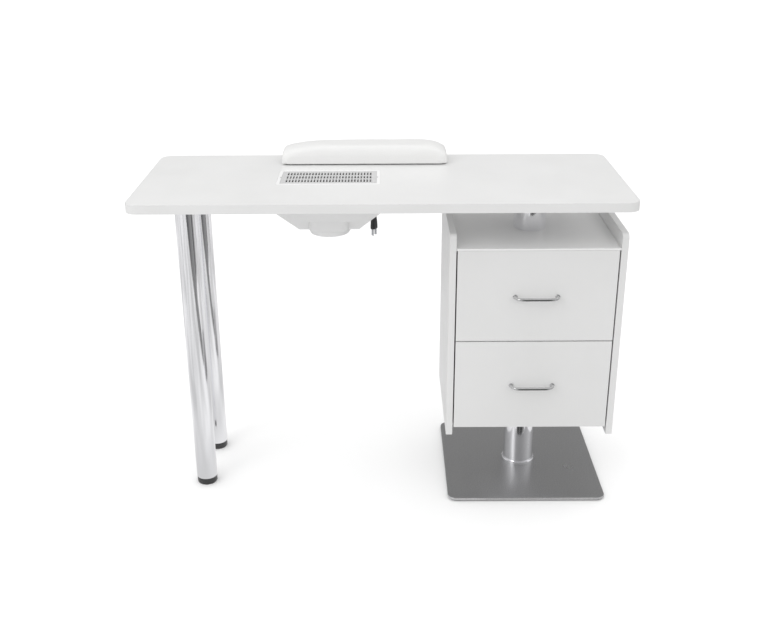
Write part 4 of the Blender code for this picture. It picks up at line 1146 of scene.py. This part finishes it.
# ---------------------------------------------------------------- mains cord
@dataclass
class MainsCord:
    """Fan's mains cord: strain relief, one lead folded into a hank, and its plug."""

    radius: float = 0.003
    pitch: float = 0.0063
    gland_x: float = -0.235
    gland_y: float = 0.0943
    gland_length: float = 0.022
    lead_bend: float = 0.026
    hank_left: float = -0.185
    hank_run: float = 0.100
    hank_fold: float = 0.018
    hank_turns: int = 4
    hank_y: float = 0.150
    hank_z: float = 0.711
    plug_x: float = -0.0225
    plug_y: float = 0.160
    plug_low: float = 0.580
    plug_turn: float = 56.0
    length: float = 1.52

    def start(self) -> Point:
        """Return the point where the lead leaves its strain relief."""
        return (self.gland_x, self.gland_y + self.gland_length + 0.0003,
                self.hank_z - self.hank_fold)

    def lead_route(self) -> list[Point]:
        """Return the route's points from the strain relief to the hank.

        Returns:
            Points of the lead, in order.
        """
        x, y, z = self.start()
        straight_end = self.hank_y - self.lead_bend
        corner = self.gland_x + self.lead_bend
        route = [(x, y, z), (x, straight_end, z)]
        for step in range(1, 5):
            angle = step * math.pi / 8
            route.append((corner - self.lead_bend * math.cos(angle),
                          straight_end + self.lead_bend * math.sin(angle), z))
        return route

    def hank_route(self) -> list[Point]:
        """Return the route's points round the turns of the hank.

        Returns:
            Points of the hank, in order.
        """
        low = self.hank_z - self.hank_fold
        high = self.hank_z + self.hank_fold
        right = self.hank_left + self.hank_run
        route = []
        for turn in range(self.hank_turns):
            y = self.hank_y + turn * self.pitch
            for share in (0.0, 0.25, 0.5, 0.75):
                route.append((self.hank_left + share * self.hank_run, y, low))
            route += self.fold(right, y, 1.0)
            for share in (0.25, 0.5, 0.75):
                route.append((right - share * self.hank_run, y + share * self.pitch, high))
            route += self.fold(self.hank_left, y + self.pitch, -1.0)[:-1]
        last = self.hank_y + self.hank_turns * self.pitch
        for share in (0.0, 0.25, 0.5, 0.75, 1.0):
            route.append((self.hank_left + share * self.hank_run, last, low))
        return route

    def fold(self, x: float, y: float, side: float) -> list[Point]:
        """Half turn at one end of the hank.

        Args:
            x: Where its straight run ends.
            y: Its place across the hank.
            side: 1 for the end towards +X, going up, or -1 for the other end, going down.

        Returns:
            Points of the half turn, ends included.
        """
        points = []
        for step in range(9):
            angle = math.pi * step / 8
            points.append((x + side * self.hank_fold * math.sin(angle), y,
                           self.hank_z - side * self.hank_fold * math.cos(angle)))
        return points

    def tail_route(self) -> list[Point]:
        """Return the route's points from the hank down to the plug.

        Returns:
            Points of the tail, in order.
        """
        top = self.plug_low + 0.065
        return [(-0.0692, 0.1752, 0.693), (-0.054, 0.1745, 0.6915), (-0.040, 0.172, 0.6855),
                (-0.0295, 0.167, 0.676), (-0.024, 0.1622, 0.664),
                (self.plug_x, self.plug_y, top + 0.008), (self.plug_x, self.plug_y, top + 0.0003)]

    def build(self) -> None:
        route = self.lead_route() + self.hank_route() + self.tail_route()
        cord = sweep("mains_cord", smooth_path(route), self.radius, CORD_JACKET, "table")
        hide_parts("cord_lead", "cord_hank", "cord_tail")
        self.relief()
        plug = self.plug()

    def relief(self) -> None:
        """Make the ribbed taper that guards the lead at the housing."""
        profile = [(0.0031, 0.0), (0.0085, 0.0), (0.0085, 0.0032), (0.0077, 0.0040)]
        ribs = 6
        for rib in range(ribs):
            low = 0.0046 + rib * (self.gland_length - 0.0052) / ribs
            high = low + (self.gland_length - 0.0052) / ribs
            outer = 0.0065 - 0.0023 * rib / (ribs - 1)
            profile += [(outer - 0.0008, low), (outer - 0.0008, low + 0.0009),
                        (outer, low + 0.0013), (outer, high - 0.0004)]
        profile += [(0.0040, self.gland_length), (0.0031, self.gland_length)]
        bm = turned_bmesh(profile, 32)
        x, _, z = self.start()
        bmesh.ops.transform(bm, matrix=aimed((0, 1, 0), (x, self.gland_y, z)), verts=bm.verts)
        gland = mesh_piece("cord_strain_relief", bm, BLACK_PLASTIC, "table")
        add_sharp_edges(gland, 40.0)
        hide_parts("cord_gland")

    def plug(self) -> bpy.types.Object:
        """Make the moulded plug body with grip ribs and its own ribbed relief.

        Returns:
            The plug's piece.
        """
        bm = bmesh.new()
        sections = [(0.0, 0.0090, 0.0056), (0.0012, 0.0099, 0.0064), (0.008, 0.0099, 0.0064),
                    (0.018, 0.0092, 0.0060), (0.028, 0.0076, 0.0052), (0.036, 0.0062, 0.0046),
                    (0.0400, 0.0046, 0.0040), (0.0415, 0.0042, 0.0038)]
        for rib in range(5):
            low = 0.0432 + rib * 0.0042
            slim = 0.0046 - 0.00016 * rib
            sections += [(low, 0.0036, 0.0036), (low + 0.0008, slim, slim),
                         (low + 0.0024, slim, slim), (low + 0.0030, 0.0036, 0.0036)]
        sections.append((0.0649, 0.0032, 0.0032))
        steps = 32
        rings = []
        for height, half_x, half_y in sections:
            square = 0.55 if height < 0.038 else 1.0
            ring = []
            for step in range(steps):
                angle = 2 * math.pi * step / steps
                across, along = math.cos(angle), math.sin(angle)
                ring.append(bm.verts.new((half_x * math.copysign(abs(across) ** square, across),
                                          half_y * math.copysign(abs(along) ** square, along),
                                          height)))
            rings.append(ring)
        for lower, upper in zip(rings, rings[1:]):
            for step in range(steps):
                after = (step + 1) % steps
                bm.faces.new((lower[step], lower[after], upper[after], upper[step]))
        bm.faces.new(list(reversed(rings[0])))
        bm.faces.new(rings[-1])
        bm.normal_update()
        turn = Matrix.Rotation(math.radians(self.plug_turn), 4, "Z")
        bmesh.ops.transform(bm, matrix=Matrix.Translation((self.plug_x, self.plug_y,
                                                           self.plug_low)) @ turn,
                            verts=bm.verts)
        plug = mesh_piece("mains_plug", bm, BLACK_PLASTIC, "table")
        add_sharp_edges(plug, 50.0)
        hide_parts("plug_body")
        return plug

    def dress(self, frame: dict) -> None:
        """Give the plug's blades and the hank's clip their finishes."""
        dress_node(frame, ("plug_blade_left", "plug_blade_right"), ZINC)
        dress_node(frame, ("cord_clip",), WHITE_PLASTIC, CLIP_ROUND)


# ---------------------------------------------------------------- tabletop and wrist cushion
@dataclass
class Tabletop:
    """Laminated board and its edge band."""

    rounding: float = 0.0007

    def dress(self, frame: dict) -> None:
        """Give the board and the band their finishes."""
        dress_node(frame, ("tabletop",), LAMINATE)
        dress_node(frame, ("edge_band",), EDGING, self.rounding)


@dataclass
class WristCushion:
    """Padded wrist rest, swollen by a cloth simulation over its board."""

    inset: float = 0.0
    end_drop: float = 0.33
    left_slope: float = 0.052
    right_slope: float = 0.024
    shoulder: float = 0.018
    end_shoulder: float = 0.007
    corner: float = 0.011
    upright: float = 0.30
    voxel: float = 0.0045
    pressure: float = 4.0
    swell_cap: float = 0.0025
    frames: int = 20
    turn_under: float = 0.0028
    turn_start: float = 0.0005
    turn_width: float = 0.002
    rim_height: float = 0.012
    crown: float = 0.05
    slope_power: float = 1.2

    def place_point(self, point: Vector, size: Vector) -> Point:
        """Move a point of a unit cube to the cushion: round in section and at its corners.

        Args:
            point: Point of the unit cube about the origin.
            size: Width, depth and height of the cushion.

        Returns:
            The point, from the middle of the cushion's underside.
        """
        from_left = (point.x + 0.5) * size.x
        from_right = (0.5 - point.x) * size.x
        power = self.slope_power
        drop = self.end_drop * (math.exp(-(from_left / self.left_slope) ** power)
                                + math.exp(-(from_right / self.right_slope) ** power))
        drop += self.crown * (2 * point.y) ** 2
        rise = max(0.0, (point.z + 0.5 - self.upright) / (1.0 - self.upright))
        shrink = 1.0 - math.sqrt(max(0.0, 1.0 - rise * rise))
        half_x = size.x / 2 - self.end_shoulder * shrink
        half_y = size.y / 2 - self.shoulder * shrink
        x, y = 2 * point.x * half_x, 2 * point.y * half_y
        past_x, past_y = abs(x) - (half_x - self.corner), abs(y) - (half_y - self.corner)
        if past_x > 0.0 and past_y > 0.0:
            pull = max(past_x, past_y) / math.hypot(past_x, past_y)
            x = math.copysign(half_x - self.corner + past_x * pull, x)
            y = math.copysign(half_y - self.corner + past_y * pull, y)
        return (x, y, (point.z + 0.5) * size.z * (1.0 - drop))

    def form(self) -> bpy.types.Object:
        """Return the cushion before it swells: its top rolls over and falls to its ends.

        Returns:
            The cushion's piece.
        """
        low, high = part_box("wrist_cushion")
        base = Vector(((low.x + high.x) / 2, (low.y + high.y) / 2, low.z))
        size = high - low - Vector((2 * self.inset, 2 * self.inset, self.inset))
        bm = bmesh.new()
        bmesh.ops.create_cube(bm, size=1.0)
        bmesh.ops.subdivide_edges(bm, edges=bm.edges, cuts=31, use_grid_fill=True)
        for vert in bm.verts:
            vert.co = base + Vector(self.place_point(vert.co, size))
        mesh = bpy.data.meshes.new("wrist_rest")
        bm.to_mesh(mesh)
        bm.free()
        piece = bpy.data.objects.new("wrist_rest", mesh)
        bpy.context.scene.collection.objects.link(piece)
        remesh = piece.modifiers.new("voxels", "REMESH")
        remesh.mode = "VOXEL"
        remesh.voxel_size = self.voxel
        self.freeze(piece)
        return piece

    def freeze(self, piece: bpy.types.Object) -> None:
        """Apply all of a piece's modifiers to its mesh.

        Args:
            piece: Piece whose modifiers are applied.
        """
        graph = bpy.context.evaluated_depsgraph_get()
        made = bpy.data.meshes.new_from_object(piece.evaluated_get(graph))
        piece.modifiers.clear()
        piece.data = made

    def swell(self, piece: bpy.types.Object) -> None:
        """Blow the cushion up as cloth, held at its rim, each point near where it started.

        Args:
            piece: The cushion, whose mesh is changed.
        """
        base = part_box("wrist_cushion")[0].z
        start = [vert.co.copy() for vert in piece.data.vertices]
        cloth = piece.modifiers.new("swelling", "CLOTH")
        cloth.settings.use_pressure = True
        cloth.settings.uniform_pressure_force = self.pressure
        cloth.settings.effector_weights.gravity = 0.0
        cloth.settings.quality = 5
        cloth.settings.mass = 0.3
        cloth.settings.tension_stiffness = 15.0
        cloth.settings.compression_stiffness = 15.0
        for number in range(1, self.frames + 1):
            bpy.context.scene.frame_set(number)
        graph = bpy.context.evaluated_depsgraph_get()
        swollen = [vert.co.copy() for vert in piece.evaluated_get(graph).data.vertices]
        piece.modifiers.clear()
        bpy.context.scene.frame_set(1)
        for vert, before, after in zip(piece.data.vertices, start, swollen):
            shift = (after - before) * min(1.0, (before.z - base) / self.rim_height)
            if shift.length > self.swell_cap:
                shift *= self.swell_cap / shift.length
            vert.co = before + shift

    def settle_down(self, piece: bpy.types.Object) -> None:
        """Flatten the cushion on its board, turn its cover down round it, and keep its size.

        Args:
            piece: The cushion, whose mesh is changed.
        """
        low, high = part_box("wrist_cushion")
        board_low, board_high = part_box("cushion_board")
        for vert in piece.data.vertices:
            vert.co = (min(max(vert.co.x, low.x), high.x), min(max(vert.co.y, low.y), high.y),
                       min(max(vert.co.z, low.z), high.z))
            beyond = max(board_low.x - vert.co.x, vert.co.x - board_high.x,
                         board_low.y - vert.co.y, vert.co.y - board_high.y)
            near_base = max(0.0, 1.0 - (vert.co.z - low.z) / self.rim_height)
            if beyond > self.turn_start:
                vert.co.z -= self.turn_under * near_base * min(1.0, beyond / self.turn_width)

    def build(self) -> None:
        piece = self.form()
        self.swell(piece)
        self.settle_down(piece)
        piece.data.polygons.foreach_set("use_smooth", [True] * len(piece.data.polygons))
        smooth = piece.modifiers.new("even skin", "SMOOTH")
        smooth.factor = 0.5
        smooth.iterations = 4
        piece.modifiers.new("fine skin", "SUBSURF").render_levels = 1
        settle(piece, LEATHERCLOTH, "cushion")
        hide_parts("wrist_cushion")

    def dress(self, frame: dict) -> None:
        """Give the cushion's board its finish."""
        dress_node(frame, ("cushion_board",), BLACK_PLASTIC, BOARD_ROUND)


# ---------------------------------------------------------------- dust extractor
@dataclass
class DustExtractor:
    """Grille in the top, hopper under it, fan, outlet and switch."""

    flange_inset: float = 0.006
    flange_low: float = 0.7317
    strap_top: float = 0.7023
    strap_hole: float = 0.013

    def build(self) -> None:
        """Screw the hopper's flange to the tabletop and the strap to the motor."""
        low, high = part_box("fan_housing")
        left, right = low.x + self.flange_inset, high.x - self.flange_inset
        front, rear = low.y + self.flange_inset, high.y - self.flange_inset
        middle_y = (front + rear) / 2
        places = [(x, y) for x in (left, right) for y in (front, middle_y, rear)]
        places += [(left + (right - left) * share, y) for share in (0.33, 0.67)
                   for y in (front, rear)]
        HOPPER_SCREW.cluster(
            "hopper_screws", [((x, y, self.flange_low), (0, 0, -1)) for x, y in places],
            SCREW_STEEL, "table")
        low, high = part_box("fan_motor")
        centre = (low + high) / 2
        MOTOR_SCREW.cluster(
            "motor_screws", [((centre.x + side * self.strap_hole, centre.y, self.strap_top), (0, 0, 1))
                             for side in (-1, 1)], SCREW_STEEL, "table")

    def dress(self, frame: dict) -> None:
        """Give the extractor's nodes their finishes.
        """
        dress_node(frame, ("vent_frame",), WHITE_PLASTIC)
        dress_node(frame, ("vent_grille",), GREY_PLASTIC)
        dress_node(frame, ("fan_housing", "outlet_spigot"), WHITE_PLASTIC)
        dress_node(frame, ("fan_motor", "motor_strap"), ZINC)
        dress_node(frame, ("fan_impeller", "switch_bezel", "switch_rocker"), BLACK_PLASTIC)


# ---------------------------------------------------------------- legs and pedestal
@dataclass
class LegPair:
    """Front and rear chrome legs."""

    plate_half: float = 0.043

    def build(self) -> None:
        """Put four screws through each leg's plate."""
        for name in ("front", "rear"):
            low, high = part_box("leg_tube_" + name)
            centre = (low + high) / 2
            plate_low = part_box("leg_plate_" + name)[0].z
            places = [((centre.x + sx * self.plate_half, centre.y + sy * self.plate_half,
                        plate_low), (0, 0, -1)) for sx in (-1, 1) for sy in (-1, 1)]
            LEG_SCREW.cluster("leg_screws_" + name, places, SCREW_STEEL, "table")

    def dress(self, frame: dict) -> None:
        """Give the tubes, plates and feet their finishes.
        """
        dress_node(frame, ("leg_tube_front", "leg_tube_rear"), CHROME)
        dress_node(frame, ("leg_plate_front", "leg_plate_rear"), CHROME, PLATE_ROUND)
        dress_node(frame, ("leg_foot_front", "leg_foot_rear"), FOOT_PLASTIC)


@dataclass
class Pedestal:
    """Column above and below the cabinet, its collar and the square base."""

    plate_half: float = 0.060
    plate_thickness: float = 0.004

    def build(self) -> None:
        """Put four screws through each of the column's plates."""
        centre_x = sum(corner.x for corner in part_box("column_upper")) / 2
        plate = self.plate_thickness
        for name, plate_low in (("upper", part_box("column_upper")[1].z - plate),
                                ("lower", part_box("column_lower")[1].z - plate),
                                ("clamp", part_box("deck_clamp_plate")[0].z)):
            places = [((centre_x + sx * self.plate_half, sy * self.plate_half, plate_low),
                       (0, 0, -1)) for sx in (-1, 1) for sy in (-1, 1)]
            COLUMN_SCREW.cluster("plate_screws_" + name, places, SCREW_STEEL, "table")

    def dress(self, frame: dict) -> None:
        """Give the column, the collar and the base their finishes.
        """
        dress_node(frame, ("column_upper", "column_lower", "base_collar"), CHROME)
        dress_node(frame, ("base_cover",), STEEL_COVER)
        dress_node(frame, ("base_weight",), IRON)
        dress_node(frame, ("base_gasket",), RUBBER)
        dress_node(frame, ("deck_clamp_plate",), ZINC, PLATE_ROUND)


# ---------------------------------------------------------------- cabinet and drawers
@dataclass
class Cabinet:
    """Carcass of the cabinet: sides, deck, floor, back and fixed runners."""

    screw_inset: float = 0.012

    def build(self) -> None:
        """Screw the back panel on."""
        low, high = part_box("cabinet_back")
        left, right = low.x + self.screw_inset, high.x - self.screw_inset
        bottom, top = low.z + self.screw_inset, high.z - self.screw_inset
        places = []
        for share in (0.0, 1 / 3, 2 / 3, 1.0):
            for x in (left, right):
                places.append(((x, high.y, bottom + share * (top - bottom)), (0, 1, 0)))
        for x in (left + (right - left) / 3, left + 2 * (right - left) / 3):
            for z in (bottom, top):
                places.append(((x, high.y, z), (0, 1, 0)))
        BACK_SCREW.cluster("back_screws", places, SCREW_STEEL, "table")

    def dress(self, frame: dict) -> None:
        """Give the carcass and the runners their finishes.
        """
        dress_node(frame, ("cabinet_side_left", "cabinet_side_right"), LAMINATE)
        # The deck wears the lighter laminate copy: painted light in place of its shade.
        dress_node(frame, ("cabinet_deck",), DECK_LAMINATE_PAINTED_LIGHTER, BOARD_ROUND)
        dress_node(frame, ("cabinet_floor", "cabinet_back"), LAMINATE, BOARD_ROUND)
        dress_node(frame, ["cabinet_runner_%s_%s" % (level, side) for level in
                           ("upper", "lower") for side in ("left", "right")], ZINC)


@dataclass
class Drawer:
    """One drawer: front, box, runners and bow handle."""

    level: str
    handle_spacing: float = 0.096
    handle_reach: float = 0.020
    handle_wire: float = 0.0036
    foot_radius: float = 0.0053
    foot_thickness: float = 0.002

    def body(self) -> str:
        """Return the name of the drawer's CAD body."""
        return "drawer_" + self.level

    def handle_place(self) -> Vector:
        """Return the middle of the handle's feet on the drawer's front face."""
        low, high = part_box("drawer_%s_handle" % self.level)
        return Vector(((low.x + high.x) / 2, high.y, (low.z + high.z) / 2))

    def handle_path(self) -> list[Vector]:
        """Return the centreline of the bow: two rounded shoulders and an almost flat bar.

        Returns:
            Points of the centreline, in order.
        """
        place = self.handle_place()
        half = self.handle_spacing / 2
        reach = self.handle_reach
        route = [(-half, 0.0004), (-half, -0.3 * reach), (-half + 0.0012, -0.52 * reach),
                 (-half + 0.0045, -0.76 * reach), (-half + 0.0105, -0.93 * reach),
                 (-half + 0.018, -0.99 * reach), (-half / 2.4, -reach), (0.0, -reach)]
        route += [(-across, out) for across, out in reversed(route[:-1])]
        return smooth_path([(place.x + across, place.y + out, place.z)
                            for across, out in route], 6)

    def build(self) -> None:
        """Make the handle with its feet, and the screws that hold it inside."""
        place = self.handle_place()
        path = self.handle_path()
        # The bow and its feet wear the darker chrome copy: painted shade in place of darker
        # reflections.
        bow = sweep("handle_bow_" + self.level, path, self.handle_wire, HANDLE_CHROME_PAINTED_DARKER,
                    self.body())
        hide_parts("drawer_%s_handle" % self.level)
        radius, height = self.foot_radius, self.foot_thickness
        profile = [(0.0, 0.0), (radius, 0.0), (radius, 0.45 * height),
                   (radius - 0.0004, 0.8 * height), (radius - 0.0012, height), (0.0, height)]
        feet = bmesh.new()
        for side in (-1, 1):
            foot = turned_bmesh(profile, 36)
            bmesh.ops.transform(foot, matrix=aimed(
                (0, -1, 0), (place.x + side * self.handle_spacing / 2, place.y, place.z)),
                verts=foot.verts)
            mesh = bpy.data.meshes.new("handle foot")
            foot.to_mesh(mesh)
            foot.free()
            feet.from_mesh(mesh)
            bpy.data.meshes.remove(mesh)
        piece = mesh_piece("handle_feet_" + self.level, feet, HANDLE_CHROME_PAINTED_DARKER,
                           self.body())
        add_sharp_edges(piece, 40.0)
        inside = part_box("drawer_%s_front" % self.level)[1].y
        HANDLE_SCREW.cluster(
            "handle_screws_" + self.level,
            [((place.x + side * self.handle_spacing / 2, inside, place.z), (0, 1, 0))
             for side in (-1, 1)], SCREW_STEEL, self.body())

    def dress(self, frame: dict) -> None:
        """Give the drawer's nodes their finishes.
        """
        prefix = "drawer_%s_" % self.level
        dress_node(frame, (prefix + "front",), LAMINATE)
        dress_node(frame, [prefix + part for part in ("side_left", "side_right", "back",
                                                      "floor")], LINING, BOARD_ROUND)
        dress_node(frame, [prefix + part for part in ("runner_left", "runner_right")], ZINC)


def main() -> None:
    """Build the studio and the sub-assemblies in order."""
    logging.basicConfig(level=logging.INFO, format="%(message)s")
    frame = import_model()
    Studio().build()
    cord = MainsCord()
    cord.build()
    cord.dress(frame)
    Tabletop().dress(frame)
    for assembly in (WristCushion(), DustExtractor(), LegPair(), Pedestal(), Cabinet(),
                     Drawer("upper"), Drawer("lower")):
        assembly.build()
        assembly.dress(frame)


if __name__ == "__main__":
    main()
